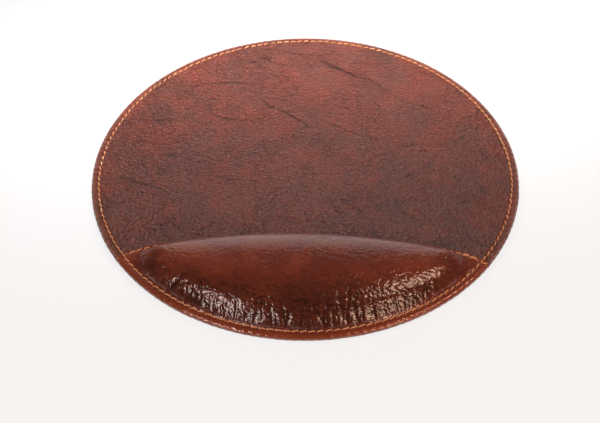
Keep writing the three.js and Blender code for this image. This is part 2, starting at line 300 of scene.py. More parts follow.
def to_nearest_hole(angle):
    """Distance along the edge seam to the nearest needle hole."""
    holes = np.sort(edge_holes % (2 * math.pi))
    holes = np.concatenate([holes[-1:] - 2 * math.pi, holes, holes[:1] + 2 * math.pi])
    turned = angle % (2 * math.pi)
    after = np.searchsorted(holes, turned)
    return SEAM_RADIUS * np.minimum(holes[after] - turned, turned - holes[after - 1])


# %% [markdown]
# ## Long creases of the hide
# The top is full-grain leather, so it keeps the creases that the animal's skin had. They could be sculpted
# by hand. Here each is written as one row of numbers and drawn as a line that wanders with the noise, so
# that a crease can be moved or left out. They are real dents in the mesh, up to 0.4 mm deep.

# %% Long creases
# Each long crease: middle x and y, length, all in mm, direction in degrees, and depth as a share
LONG_CREASES = [
    (-13, 47, 46, -40, 1.0),
    (28, 84, 58, -34, 1.0),
    (-44, 43, 30, -8, 0.8),
    (-70, 8, 34, -12, 0.9),
    (-96, -12, 26, -22, 0.7),
    (-8, 104, 44, -3, 0.8),
    (-40, 98, 30, -20, 0.7),
    (62, 58, 38, -36, 0.7),
    (25, 34, 40, -27, 0.8),
    (-19, 94, 32, -18, 0.9),
    (-42, 74, 22, -3, 0.7),
    (-12, 66, 14, -53, 0.8),
    (52, 16, 36, 24, 0.5),
    (-58, 72, 34, 6, 0.8),
    (-24, 74, 26, 32, 0.5),
    (84, 24, 26, 38, 0.5),
    (-36, -8, 42, -6, 0.5),
    (30, -22, 40, 12, 0.4),
    (-84, 40, 30, 14, 0.7),
]
print(len(LONG_CREASES), "long creases, together", sum(row[2] for row in LONG_CREASES), "mm")

# %% How deep a point lies in a crease
CREASE_WIDTH = 0.65 * MM
CREASE_REACH = 12 * MM
WANDER, WANDER_LUMP = 3.2 * MM, 17 * MM
TREMBLE, TREMBLE_LUMP = 0.7 * MM, 4 * MM
BREAK_LUMP = 9 * MM


def crease_lines(points):
    """How deep each point lies in a long crease, from 0 to 1."""
    deepest = np.zeros(len(points))
    flat = np.column_stack([points[:, :2], np.zeros(len(points))])
    for number, (x, y, length, direction, share) in enumerate(LONG_CREASES):
        heading = math.radians(direction)
        away = points[:, :2] - np.array([x, y]) * MM
        along = away[:, 0] * math.cos(heading) + away[:, 1] * math.sin(heading)
        across = away[:, 1] * math.cos(heading) - away[:, 0] * math.sin(heading)
        near = (np.abs(along) < length * MM) & (np.abs(across) < CREASE_REACH)
        wander = WANDER * noise(flat[near], WANDER_LUMP, number)
        wander += TREMBLE * noise(flat[near], TREMBLE_LUMP, number)
        line = np.exp(-(((across[near] + wander) / CREASE_WIDTH) ** 2))
        ends = 1 - smooth_step(np.abs(along[near]), 0.3 * length * MM, 0.55 * length * MM)
        broken = 0.65 + 0.5 * noise(flat[near], BREAK_LUMP, number + 40)
        deepest[near] = np.maximum(deepest[near], share * line * ends * np.clip(broken, 0, 1))
    return deepest


# %% [markdown]
# ## Short wrinkles and swells
# Between the creases the hide has short wrinkles, and it rises and falls a little where it was thicker.
# Noise makes a valley wherever it crosses zero, so its size without its sign gives a net of narrow valleys.
# Stretching that net along the hide makes wrinkles of it. The grain is finer than the mesh, and is left to
# the material.

# %% Short wrinkles and swells
HIDE_LIE = math.radians(-18)
HIDE_STRETCH = 2.4
VALLEY_SIDE = 0.35
CREASE_DEPTH = 0.4 * MM
WRINKLE_DEPTH, WRINKLE_LUMP = 0.12 * MM, 4.2 * MM
WRINKLED_PATCH = 38 * MM
SWELL_HEIGHT, SWELL_LUMP = 0.22 * MM, 26 * MM


def hide_wrinkles(points, lump, seed):
    """Ridged noise, 1 in the narrow valleys, stretched along the lie of the hide."""
    along = points[..., 0] * math.cos(HIDE_LIE) + points[..., 1] * math.sin(HIDE_LIE)
    across = points[..., 1] * math.cos(HIDE_LIE) - points[..., 0] * math.sin(HIDE_LIE)
    bent = across + 0.5 * lump * noise(points, 3 * lump, seed + 3)
    stretched = np.stack([along / HIDE_STRETCH, bent, points[..., 2]], -1)
    return np.clip(1 - np.abs(noise(stretched, lump, seed)) / VALLEY_SIDE, 0, 1) ** 2


def flat_relief(points):
    """Height above the flat, and how much shade is painted into each point's creases and wrinkles."""
    flat = points * np.array([1, 1, 0])
    creases = crease_lines(points)
    patches = smooth_step(noise(flat, WRINKLED_PATCH, 5), -0.35, 0.45)
    wrinkles = hide_wrinkles(flat, WRINKLE_LUMP, 1) * patches
    swell = SWELL_HEIGHT * noise(flat, SWELL_LUMP, 6)
    dents = CREASE_DEPTH * creases + WRINKLE_DEPTH * wrinkles
    # Painted shade: only the floor of a crease is marked darker, so the dark line is narrower than the dent
    return swell - dents, np.clip(1.6 * creases**1.25 + 0.1 * wrinkles, 0, 1)


# %% [markdown]
# ## The rolled rim
# At the edge, the leather rolls over the board and is turned under it. A bevelled curve could make such a
# rim, but not the marks of the sewing. The profile is the same all the way round, so it is written once,
# as radius and height, and swept. The seam presses a valley into it, each hole a small pit, and the
# leather swells a little between the holes.

# %% Profile of the rim
ROLL_STEPS, UNDER_STEPS = 9, 5

roll_half = (LEATHER_TOP - TURNED_BOTTOM) / 2
roll_centre = RIM_RADIUS - roll_half
roll_middle = (LEATHER_TOP + TURNED_BOTTOM) / 2
print(f"the rim is {2 * roll_half / MM:.1f} mm high")


def rim_profile(first_radius, step):
    """Radii, heights and shares of top, from a first radius over the rim to the turned border's edge."""
    flat = np.arange(first_radius + step, roll_centre - 0.3 * MM, step)
    roll = np.linspace(0.5, -0.5, ROLL_STEPS) * math.pi
    under = np.linspace(roll_centre, TURNED_RADIUS, UNDER_STEPS)[1:]
    radius = np.concatenate([flat, roll_centre + roll_half * np.cos(roll), under])
    height = np.concatenate([
        np.full(len(flat), LEATHER_TOP),
        roll_middle + roll_half * np.sin(roll),
        np.full(len(under), TURNED_BOTTOM),
    ])
    upper = np.concatenate([np.ones(len(flat)), np.clip(np.sin(roll), 0, 1), np.zeros(len(under))])
    return radius, height, upper


# %% The rim, swept round and sewn
VALLEY_DEPTH, VALLEY_WIDTH = 0.55 * MM, 0.6 * MM
PIT_DEPTH, PIT_WIDTH = 0.6 * MM, 0.5 * MM
SCALLOP, SCALLOP_REACH = 0.14 * MM, 4 * MM
HOLE_REACH = 0.3 * STITCH_LENGTH
WOBBLE, WOBBLE_LUMP = 0.1 * MM, 7 * MM


def swept_rim(angles, radius, height, upper):
    """Points of the rim at each angle, with the seam's valley, pits and scallops, and a share of pit."""
    from_hole = to_nearest_hole(angles)[:, None]
    from_seam = (radius - SEAM_RADIUS)[None]
    between = 1 - hole_nearness(from_hole, HOLE_REACH)
    pull = np.exp(-((from_seam / VALLEY_WIDTH) ** 2))
    pit = hole_nearness(from_hole, PIT_WIDTH) * hole_nearness(from_seam, PIT_WIDTH) * upper
    near_seam = np.exp(-((from_seam / SCALLOP_REACH) ** 2))
    rise = SCALLOP * (between - 0.5) * near_seam * upper
    out = SCALLOP * (between - 0.6) * smooth_step(from_seam, 1 * MM, 3 * MM)
    even = np.concatenate([
        polar(radius[None] + 0 * from_hole, angles[:, None] + 0 * from_seam),
        np.broadcast_to(height[None, :, None], (len(angles), len(radius), 1)),
    ], -1)
    wobble = WOBBLE * noise(even, WOBBLE_LUMP, 8) * smooth_step(from_seam, 0, 2 * MM)
    level = height[None] - upper * VALLEY_DEPTH * pull - PIT_DEPTH * pit + rise
    spread = radius[None] + (out + wobble) * (height > TURNED_BOTTOM + 0.1 * MM)
    return np.concatenate([polar(spread, angles[:, None]), level[..., None]], -1), pit


# %% [markdown]
# ## The mouse panel
# This is the flat leather that the mouse runs on. A cut disc would give long thin triangles, which can't
# be dented. So its grid fills the outline between the rear seam and a circle just inside the stitching,
# and the rim continues from the round side, with the same number of points.

# %% Grid and rim of the mouse panel
PANEL_MIDDLE = np.array([0, 25 * MM])
PANEL_RIM_STEP = 0.42 * MM
PANEL_STEPS = 6

panel_count = BACK_STITCHES * PANEL_STEPS // 3 + 1
panel_angles = np.linspace(panel_right, panel_left, 3 * (panel_count - 1) + 1)
panel_along = np.linspace(-panel_end, panel_end, panel_count)
panel_loop = np.vstack([
    rear_seam(panel_along[:-1], FOLD_CLEAR),
    polar(PANEL_EDGE, panel_angles[:-1]),
])
panel_grid = fill_outline(panel_loop, PANEL_MIDDLE)
panel_points = np.concatenate([panel_grid, np.full(panel_grid.shape[:2] + (1,), LEATHER_TOP)], -1)
rim_radius, rim_height, rim_upper = rim_profile(PANEL_EDGE, PANEL_RIM_STEP)
rim_points, rim_pits = swept_rim(panel_angles, rim_radius, rim_height, rim_upper)

print(f"the panel's grid is {panel_count} x {panel_count} points")

# %% [markdown]
# ### Its back and its tongue
# Leather has a thickness, so the panel has a back, which goes from the turned border's edge round the board
# to the flat again. On the straight side the leather is pared to a thin tongue, which goes down under the
# folded edge of the cushion's cover, so that the lap isn't a thick ridge.

# %% Back of the leather, and the tongue
RIM_LEATHER = 1.2 * MM
TONGUE_WIDTH = 2.6 * MM
TONGUE_TOP = LEATHER_BOTTOM + 0.6 * MM

inner_turn = np.linspace(-0.5, 0.5, 5) * math.pi
inner_half = (LEATHER_BOTTOM - TURNED_TOP) / 2
inner_radius = roll_centre - FIT_GAP + (roll_half - RIM_LEATHER) * np.cos(inner_turn)
inner_height = (LEATHER_BOTTOM + TURNED_TOP) / 2 + inner_half * np.sin(inner_turn)
inner_radius = np.concatenate([[TURNED_RADIUS], inner_radius, [PANEL_EDGE]])
inner_height = np.concatenate([[TURNED_TOP], inner_height, [LEATHER_BOTTOM]])
inner_points = np.concatenate([
    polar(inner_radius[None], panel_angles[:, None]),
    np.broadcast_to(inner_height[None, :, None], (len(panel_angles), len(inner_radius), 1)),
], -1)

# Each point of the tongue's profile: distance behind the rear seam, and height
tongue_profile = [
    (FOLD_MARGIN + 0.1 * MM, LEATHER_TOP - 0.06 * MM),
    (FOLD_MARGIN - 0.15 * MM, LEATHER_TOP - 0.35 * MM),
    (FOLD_MARGIN - 0.4 * MM, TONGUE_TOP),
    (-TONGUE_WIDTH, TONGUE_TOP),
    (-TONGUE_WIDTH, LEATHER_BOTTOM),
]
tongue_points = np.stack([
    np.column_stack([rear_seam(panel_along, back), np.full(panel_count, height)])
    for back, height in tongue_profile
], 1)
under_seam = np.column_stack([
    rear_seam(panel_along[1:-1], FOLD_CLEAR),
    np.full(panel_count - 2, LEATHER_BOTTOM),
])

print(f"the tongue is {(TONGUE_TOP - LEATHER_BOTTOM) / MM:.1f} mm thick")

# %% [markdown]
# ### Its relief, and the weaving
# The relief is added to the top only. It fades out at the stitching and at the folded edge, where the
# leather is pulled flat. Then the grid, the rim, the back and the tongue are woven into one closed piece.

# %% Relief of the mouse panel
RELIEF_FADE = 4 * MM

top_of_strip = rim_points.reshape(-1, 3)
strip_fade = 1 - smooth_step(np.hypot(top_of_strip[:, 0], top_of_strip[:, 1]), PANEL_EDGE, SEAM_RADIUS - MM)
strip_relief, strip_crease_shade = flat_relief(top_of_strip)
top_of_strip[:, 2] += strip_relief * strip_fade
rim_points = top_of_strip.reshape(rim_points.shape)
grid_flat = panel_points.reshape(-1, 3)
behind_fold = grid_flat[:, 1] - np.interp(grid_flat[:, 0], *rear_seam(panel_along, FOLD_MARGIN).T)
grid_relief, grid_crease_shade = flat_relief(grid_flat)
grid_flat[:, 2] += grid_relief * smooth_step(behind_fold, 0, RELIEF_FADE)
print(f"relief from {grid_relief.min() / MM:.2f} to {grid_relief.max() / MM:.2f} mm")

# %% Weave the mouse panel
panel = Sheet()
panel_top = panel.add(grid_flat.reshape(panel_points.shape))
panel_edge = panel_top[grid_edge(panel_count)]
round_edge = np.append(panel_edge[panel_count - 1:], panel_edge[0])
seam_edge = panel_edge[:panel_count]
rim_numbers = panel.add(rim_points)
back_numbers = panel.add(inner_points)
rim_chain = np.column_stack([round_edge, rim_numbers, back_numbers])
tongue_chain = np.column_stack([seam_edge, panel.add(tongue_points)])
under_line = np.concatenate([rim_chain[-1:, -1], panel.add(under_seam), rim_chain[:1, -1]])
tongue_chain = np.column_stack([tongue_chain, under_line])
panel.weave(panel_top)
panel.weave(rim_chain)
panel.weave(tongue_chain)
panel.close(np.concatenate([rim_chain[:, -1], under_line[1:-1]]))
for chain in (rim_chain, tongue_chain):
    panel.close(chain[0])
    panel.close(chain[-1])
mouse_panel = panel.make("mouse_panel_leather")

# %% [markdown]
# ## Marks for the finish
# The material has to know where shade is painted into the creases, where the leather is pulled over the rim,
# and where the needle went through, which is painted dark as shade. Painted images could say that. A named
# attribute, one number for each point of the mesh, says it without an image, and the material reads it by its
# name.


# %% Marks that the leather's finish follows
def mark(piece, name, values):
    """Keeps one number per point on a mesh, for its material to read."""
    padded = np.zeros(len(piece.data.vertices), np.float32)
    padded[: len(values)] = values
    piece.data.attributes.new(name, "FLOAT", "POINT").data.foreach_set("value", padded)


def rim_stretch(points):
    """How far the leather is pulled over the rim, from 0 on the flat to 1 on the roll."""
    radius = np.hypot(points[:, 0], points[:, 1])
    return smooth_step(radius, SEAM_RADIUS + 0.4 * MM, roll_centre + 0.6 * roll_half)


strip_stretch = rim_stretch(top_of_strip)
# The creased mark is painted shade in the crease floors, the pierced mark is painted shade in the needle
# holes, and the stretched mark is the paler orange of leather pulled over the rim
mark(mouse_panel, "creased", np.concatenate([grid_crease_shade, strip_crease_shade * strip_fade]))
mark(mouse_panel, "stretched", np.concatenate([0 * grid_crease_shade, strip_stretch]))
mark(mouse_panel, "pierced", np.concatenate([0 * grid_crease_shade, rim_pits.ravel()]))
print("marked the panel where it is creased, stretched and pierced")

# %% [markdown]
# ## The cushion's smooth shape
# The cushion is steep on the side of the mouse, slopes more easily on the side of the wrist, and is pared
# to nothing at its tips. A sphere could be squashed to such a dome, but its edge wouldn't follow the seams.
# So a grid fills the crescent between the seams, and a formula lifts each of its points.

# %% Outline of the crown
CROWN_MIDDLE = np.array([0, -SEAM_RADIUS + REST_DEPTH / 2])
COVER_STEPS = 8

crown_count = FRONT_STITCHES * COVER_STEPS // 2 + 1
front_angles = np.linspace(crown_left, crown_right, 2 * (crown_count - 1) + 1)
crown_along = np.linspace(crown_end, -crown_end, 2 * (crown_count - 1) + 1)
crown_loop = np.vstack([polar(FOOT_RADIUS, front_angles[:-1]), rear_seam(crown_along[:-1], -CROWN_INSET)])
print(f"the crown's grid is {crown_count} x {crown_count} points")

# %% Height of the crown
REAR_FLATNESS, REAR_FULLNESS = 2.4, 0.45
FRONT_FLATNESS, FRONT_FULLNESS = 2.1, 0.6
END_FULLNESS = 0.82
FLAT_TIP = 2 * MM
TIP_SLOPE = 14 * MM


def rear_edge(x, inset):
    """The rear seam's y at a distance x to the side, moved forward by an inset."""
    side = np.minimum(np.abs(x), crown_corner[0])
    bow = bow_y + np.sqrt((BOW_RADIUS - inset) ** 2 - side**2)
    end = end_y + np.sqrt(np.maximum((END_RADIUS - inset) ** 2 - (side - end_x) ** 2, 0))
    return np.where(side < (BOW_RADIUS - inset) * math.sin(bow_angle), bow, end)


def crown_height(points):
    """Height of the cushion above its foot: steep behind, easier in front, flat at its unpadded tips."""
    x, y = points[..., 0], points[..., 1]
    rear = rear_edge(x, CROWN_INSET)
    front = -np.sqrt(np.maximum(FOOT_RADIUS**2 - x**2, 0))
    depth = np.maximum(rear - front, 1e-6)
    across = np.clip(2 * (rear - y) / depth - 1, -1, 1)
    flatness = np.where(across > 0, FRONT_FLATNESS, REAR_FLATNESS)
    fullness = np.where(across > 0, FRONT_FULLNESS, REAR_FULLNESS)
    padded = smooth_step(crown_corner[0] - np.abs(x), FLAT_TIP, FLAT_TIP + TIP_SLOPE)
    ridge = CROWN_HEIGHT * padded * (depth / REST_DEPTH) ** END_FULLNESS
    return ridge * (1 - np.abs(across) ** flatness) ** fullness


# %% The crown's smooth shape
LAP_FOOT = LEATHER_TOP + 0.3 * MM

crown_grid = fill_outline(crown_loop, CROWN_MIDDLE)
rear_share = smooth_step(crown_grid[..., 1] - CROWN_MIDDLE[1], 0, 0.5 * REST_DEPTH)
foot = LEATHER_TOP + (LAP_FOOT - LEATHER_TOP) * rear_share
crown_scale = CROWN_HEIGHT / crown_height(CROWN_MIDDLE)
crown_smooth = np.concatenate([crown_grid, (foot + crown_scale * crown_height(crown_grid))[..., None]], -1)
crown_edge = np.zeros((crown_count, crown_count), bool)
crown_edge[grid_edge(crown_count)] = True
front_distance = FOOT_RADIUS - np.hypot(crown_grid[..., 0], crown_grid[..., 1])
print("crown", np.round((crown_smooth.max((0, 1)) - crown_smooth.min((0, 1))) / MM, 1), "mm")

# %% [markdown]
# ## The gathered leather, by cloth simulation
# The cover was cut a little too long for its front seam, as any cover over a dome must be, so the seam
# gathers it into fine puckers. That is what cloth simulation is for. The grid starts on the smooth crown
# with its edge held still, as sewn. Leather near the front seam grows, air pressure stands in for the
# foam, and the surplus buckles into puckers that die out up the slope. The simulation works at twenty
# times the real size, where its default time step suits the mesh.

# %% The cloth simulation
SIM_SCALE = 20
SIM_FRAMES = 8
GATHER = 0.07


def simulate_leather(start, held, loose):
    """Cloth points after the leather has grown where it is loose, with its held points kept still."""
    trial = Sheet()
    trial.weave(trial.add(start * SIM_SCALE))
    cloth_piece = trial.make("leather_trial")
    sewn = cloth_piece.vertex_groups.new(name="sewn")
    sewn.add(np.flatnonzero(held.ravel()).tolist(), 1.0, "REPLACE")
    gathered = cloth_piece.vertex_groups.new(name="gathered")
    for number, share in enumerate(loose.ravel()):
        gathered.add([number], float(share), "REPLACE")
    cloth = cloth_piece.modifiers.new("cloth", "CLOTH")
    cloth.settings.quality = 5
    cloth.settings.mass = 0.15
    cloth.settings.tension_stiffness = 30
    cloth.settings.compression_stiffness = 30
    cloth.settings.shear_stiffness = 10
    cloth.settings.bending_stiffness = 0
    cloth.settings.vertex_group_mass = "sewn"
    cloth.settings.vertex_group_shrink = "gathered"
    cloth.settings.shrink_min = 0.0
    cloth.settings.shrink_max = -GATHER
    cloth.settings.use_pressure = True
    cloth.settings.uniform_pressure_force = 2
    cloth.settings.effector_weights.gravity = 0
    cloth.collision_settings.use_collision = False
    cloth.point_cache.frame_end = SIM_FRAMES
    for step in range(1, SIM_FRAMES + 1):
        bpy.context.scene.frame_set(step)
    settled = cloth_piece.evaluated_get(bpy.context.evaluated_depsgraph_get())
    points = np.zeros(3 * len(settled.data.vertices), np.float32)
    settled.data.vertices.foreach_get("co", points)
    bpy.data.objects.remove(cloth_piece)
    bpy.context.scene.frame_set(1)
    return points.reshape(start.shape).astype(float) / SIM_SCALE


# %% [markdown]
# ### Where the leather is loose
# The surplus is greatest at the front seam, varies along it, and ends before the tips. The result is kept as
# the distance that each point moved out of the smooth crown.

# %% Simulate the gathered leather
GATHER_REACH = 15 * MM
TIP_FADE = 22 * MM
LOOSE_LUMP = 24 * MM
FIRST_RUFFLE, FIRST_LUMP = 0.3 * MM, 1.7 * MM


def surface_normals(grid):
    """Unit normals of a grid of points."""
    normal = np.cross(np.gradient(grid, axis=1), np.gradient(grid, axis=0))
    normal /= np.linalg.norm(normal, axis=-1, keepdims=True) + 1e-12
    return normal * np.sign(normal[..., 2:].mean())


crown_normals = surface_normals(crown_smooth)
tip_distance = crown_corner[0] - np.abs(crown_grid[..., 0])
looseness = np.exp(-((front_distance / GATHER_REACH) ** 2)) * smooth_step(tip_distance, 0, TIP_FADE)
looseness *= 0.75 + 0.35 * noise(crown_smooth, LOOSE_LUMP, 21)
# A slight ruffle gives the surplus somewhere to start buckling
ruffle = FIRST_RUFFLE * noise(crown_smooth * np.array([1, 0.3, 0.3]), FIRST_LUMP, 22) * looseness
crown_start = crown_smooth + crown_normals * (ruffle * ~crown_edge)[..., None]
crown_settled = simulate_leather(crown_start, crown_edge, np.clip(looseness, 0, 1))
moved = ((crown_settled - crown_smooth) * crown_normals).sum(-1)
print(f"the leather moved {moved.min() / MM:.2f} to {moved.max() / MM:.2f} mm")

# %% [markdown]
# ## Puckers and crackle
# The simulation swells the whole crown as well, which the foam would not. Smoothing finds that swelling,
# so that most of it can be taken out while the puckers stay. Ruffles close to the seam and a crackle of
# short creases are finer than the cloth can fold at this mesh, so they are added here.

# %% Keep the puckers and limit the swelling
SMOOTHING = 120
SWELL_SHARE = 0.12
PUCKER_GAIN = 1.3
MOST_PUCKER = 0.5 * MM


def smoothed(values, passes):
    """A grid of values with its fine detail averaged away."""
    for axis in (0, 1) * passes:
        ends = [(1, 1) if other == axis else (0, 0) for other in (0, 1)]
        wide = np.pad(values, ends, "edge")
        before, after = [np.take(wide, range(start, start + values.shape[axis]), axis) for start in (0, 2)]
        values = (before + 2 * values + after) / 4
    return values


swelling = smoothed(moved, SMOOTHING)
pucker = MOST_PUCKER * np.tanh(PUCKER_GAIN * (moved - swelling) / MOST_PUCKER)
print(f"puckers {pucker.min() / MM:.2f} to {pucker.max() / MM:.2f} mm")

# %% Add ruffles and a crackle
RUFFLE_DEPTH, RUFFLE_LUMP = 0.12 * MM, 1.5 * MM
RUFFLE_REACH = 8 * MM
RUFFLE_STRETCH = 2.4
CRACKLE_DEPTH = 0.16 * MM
CRACKLE_LUMP, FINE_CRACKLE_LUMP = 3.0 * MM, 2.2 * MM
CRACKLE_REACH = 26 * MM

rear_distance = rear_edge(crown_grid[..., 0], CROWN_INSET) - crown_grid[..., 1]
round_seam = FOOT_RADIUS * np.arctan2(crown_grid[..., 0], -crown_grid[..., 1])
ruffle_place = np.stack([round_seam, front_distance / RUFFLE_STRETCH, 0 * round_seam], -1)
near_front = np.exp(-((front_distance / RUFFLE_REACH) ** 2))
ruffles = RUFFLE_DEPTH * noise(ruffle_place, RUFFLE_LUMP, 25) * near_front
pucker += ruffles * (0.6 + 0.6 * noise(crown_smooth, 20 * MM, 26))
pucker *= smooth_step(rear_distance, 1 * MM, 9 * MM) * smooth_step(tip_distance, 2 * MM, 14 * MM)
from_edge = np.minimum(front_distance, rear_distance)
crackle = hide_wrinkles(crown_smooth, CRACKLE_LUMP, 14)
crackle += 0.7 * hide_wrinkles(crown_smooth[..., [1, 0, 2]], FINE_CRACKLE_LUMP, 15)
crackle *= smooth_step(from_edge, 0, 3 * MM) * (0.2 + 0.8 * np.exp(-((front_distance / CRACKLE_REACH) ** 2)))
lift = SWELL_SHARE * swelling + pucker - CRACKLE_DEPTH * crackle
crown_points = crown_smooth + crown_normals * (lift * ~crown_edge)[..., None]
print(f"the leather's relief is {lift.min() / MM:.2f} to {lift.max() / MM:.2f} mm")

# %% [markdown]
# ## The cushion's cover
# The crown is only the middle of the cover. Behind it, the leather dips into the rear seam and ends in a
# folded edge that laps over the mouse panel. That strip is a profile swept along the seam, like the rim,
# and has the same valley, pits and swells.

# %% The lapped rear edge
HEM_RETURN = 2.0 * MM
LAP_STEPS = 9

fold_half = (LAP_TOP - LAP_BOTTOM) / 2
fold_centre = FOLD_MARGIN - fold_half
lap_backs = np.linspace(-CROWN_INSET, fold_centre, LAP_STEPS)[1:]
lap_levels = LAP_FOOT + (LAP_TOP - LAP_FOOT) * smooth_step(lap_backs, -CROWN_INSET, -0.4 * CROWN_INSET)
fold_turn = np.linspace(0.5, -0.5, 7)[1:] * math.pi
hem_backs = np.concatenate([lap_backs, fold_centre + fold_half * np.cos(fold_turn), [-HEM_RETURN]])
hem_levels = np.concatenate([lap_levels, LAP_TOP - fold_half + fold_half * np.sin(fold_turn), [LAP_BOTTOM]])
hem_upper = (np.arange(len(hem_backs)) < len(lap_backs)) * 1.0

hem_stretch = np.array([seam_end(back, FOOT_RADIUS) for back in hem_backs]) / crown_end
hem_along = crown_along[:, None] * hem_stretch[None]
rear_spacing = rear_holes[0] - rear_holes[1]
from_rear_hole = np.abs((hem_along - rear_holes[0] + rear_spacing / 2) % rear_spacing - rear_spacing / 2)
rear_pull = np.exp(-((hem_backs / VALLEY_WIDTH) ** 2)) * hem_upper
rear_pits = hole_nearness(from_rear_hole, PIT_WIDTH) * hole_nearness(hem_backs, PIT_WIDTH) * hem_upper
rear_swell = SCALLOP * (0.5 - hole_nearness(from_rear_hole, HOLE_REACH)) * hem_upper
hem_z = hem_levels - VALLEY_DEPTH * rear_pull - PIT_DEPTH * rear_pits + rear_swell
hem_points = np.concatenate([rear_seam(hem_along, hem_backs[None]), hem_z[..., None]], -1)
print(f"folded edge {(LAP_TOP - LAP_BOTTOM) / MM:.1f} mm thick")

# %% [markdown]
# ### Its rim
# In front, the cover dips into the edge seam, rolls over the rim and is turned under the board, with the
# profile that the mouse panel has. At both tips the lapped edge runs out over the rim, so there the rim
# stands above the panel's leather and comes down to its level as it goes round the roll.

# %% The line that the rim starts from
cover = Sheet()
crown_numbers = cover.add(crown_points)
crown_ring = crown_numbers[grid_edge(crown_count)]
half_ring = 2 * (crown_count - 1)
hem_numbers = cover.add(hem_points)
hem_chain = np.column_stack([np.append(crown_ring[half_ring:], crown_ring[0]), hem_numbers])
end_steps = len(hem_backs) - 1
inner_line = np.concatenate([
    hem_numbers[-1, :end_steps][::-1],
    crown_ring[: half_ring + 1],
    hem_numbers[0, :end_steps],
])
inner_places = np.concatenate(cover.points)[inner_line]
cover_angles = np.arctan2(inner_places[:, 1], inner_places[:, 0])
cover_angles[cover_angles > 0] -= 2 * math.pi
print("the cover's rim starts from", len(inner_line), "points")

# %% Rim of the cover
LAP_LOSS = 0.35
COVER_RIM_STEP = 0.3 * MM

cover_radius, cover_height, cover_upper = rim_profile(FOOT_RADIUS, COVER_RIM_STEP)
front_points, front_pits = swept_rim(cover_angles, cover_radius, cover_height, cover_upper)
lap_step = (inner_places[:, 2] - LEATHER_TOP)[:, None]
outward = np.stack([np.zeros(len(cover_radius)), np.ones(len(cover_radius))], -1)
rolling = cover_radius > roll_centre
outward[rolling, 0] = cover_radius[rolling] - roll_centre
outward[rolling, 1] = cover_height[rolling] - roll_middle
outward /= np.linalg.norm(outward, axis=1, keepdims=True)
kept = 1 - LAP_LOSS * smooth_step(cover_radius, SEAM_RADIUS, roll_centre)
kept = kept * smooth_step(cover_height, TURNED_BOTTOM, TURNED_TOP)
front_points[..., 2] += lap_step * (kept * outward[:, 1])[None]
push = 1 + lap_step * (kept * outward[:, 0])[None] / cover_radius[None]
front_points[..., :2] *= push[..., None]
front_chain = np.column_stack([inner_line, cover.add(front_points)])

cover.weave(crown_numbers)
cover.weave(hem_chain)
cover.weave(front_chain)
wrist_cover = cover.make("wrist_rest_leather")

# %% [markdown]
# ### Its marks
# Shade is painted into the puckers and the crackle, and over the front of the cushion, less towards its ends.
# Light is painted on the upper slopes of the ends, in the paler orange of tight leather. The folded edges are
# pulled tight, which thins the dye there.

# %% Marks on the cover
front_stretch = rim_stretch(front_points.reshape(-1, 3))
hem_stretched = np.broadcast_to(smooth_step(hem_backs, 0.5 * MM, FOLD_MARGIN), hem_z.shape)
# Painted shade over the front of the cushion, less towards its ends
from_front = front_distance / np.maximum(front_distance + rear_distance, 1e-6)
painted_front_shade = 1 - smooth_step(from_front, 0.12, 0.5)
painted_front_shade *= 1 - 0.6 * smooth_step(np.abs(crown_grid[..., 0]), 50 * MM, 80 * MM)
# Painted shade in the pucker valleys and the crackle, added to the shade over the front
cover_shade = 0.3 * np.clip(-pucker / (0.3 * MM), 0, 1) + 0.35 * crackle + 0.65 * painted_front_shade
# Painted light: the upper slopes of the cushion's ends are marked for the paler orange
painted_lit_ends = smooth_step(np.abs(crown_grid[..., 0]), 40 * MM, 72 * MM)
painted_lit_ends *= smooth_step(front_distance, 10 * MM, 22 * MM)
# The creased mark is painted shade. The pierced mark is painted shade in the needle holes. The stretched mark
# is the paler orange of the tight folded edges and rim, and painted light on the ends.
mark(wrist_cover, "creased", np.concatenate([cover_shade.ravel(), 0 * hem_z.ravel(), 0 * front_stretch]))
mark(wrist_cover, "stretched", np.concatenate([painted_lit_ends.ravel(), hem_stretched.ravel(), front_stretch]))
mark(wrist_cover, "pierced", np.concatenate([0 * cover_shade.ravel(), rear_pits.ravel(), front_pits.ravel()]))
print("marked the cover where it is creased, stretched and pierced")

# %% [markdown]
# ### Its thickness
# A Solidify modifier gives the skin its thickness and puts the new inner points into a vertex group. Nobody
# sees the inside, so a Decimate modifier thins the mesh of that group only.

# %% Thickness of the cover
SKIN = 0.45 * MM

wrist_cover.vertex_groups.new(name="inside")
thickness = wrist_cover.modifiers.new("skin", "SOLIDIFY")
thickness.thickness = SKIN
thickness.offset = -1
thickness.shell_vertex_group = "inside"
thinned = wrist_cover.modifiers.new("thinned", "DECIMATE")
thinned.vertex_group = "inside"
thinned.ratio = 0.55
bpy.context.view_layer.objects.active = wrist_cover
for modifier in ("skin", "thinned"):
    bpy.ops.object.modifier_apply(modifier=modifier)
print("cover with its thickness:", len(wrist_cover.data.vertices), "points")

# %% [markdown]
# ## The foam in the cushion
# The foam fills the cover. It doesn't show on the finished pad, but a cut through the cushion would show
# it. It could be a copy of the cover, shrunk. It is the same formula on a coarser grid, because hidden
# foam needs no puckers.

# %% Foam under the cover
FOAM_STEPS = 32
FOAM_INSET = 3.4 * MM
FOAM_COVERING = 1.4 * MM

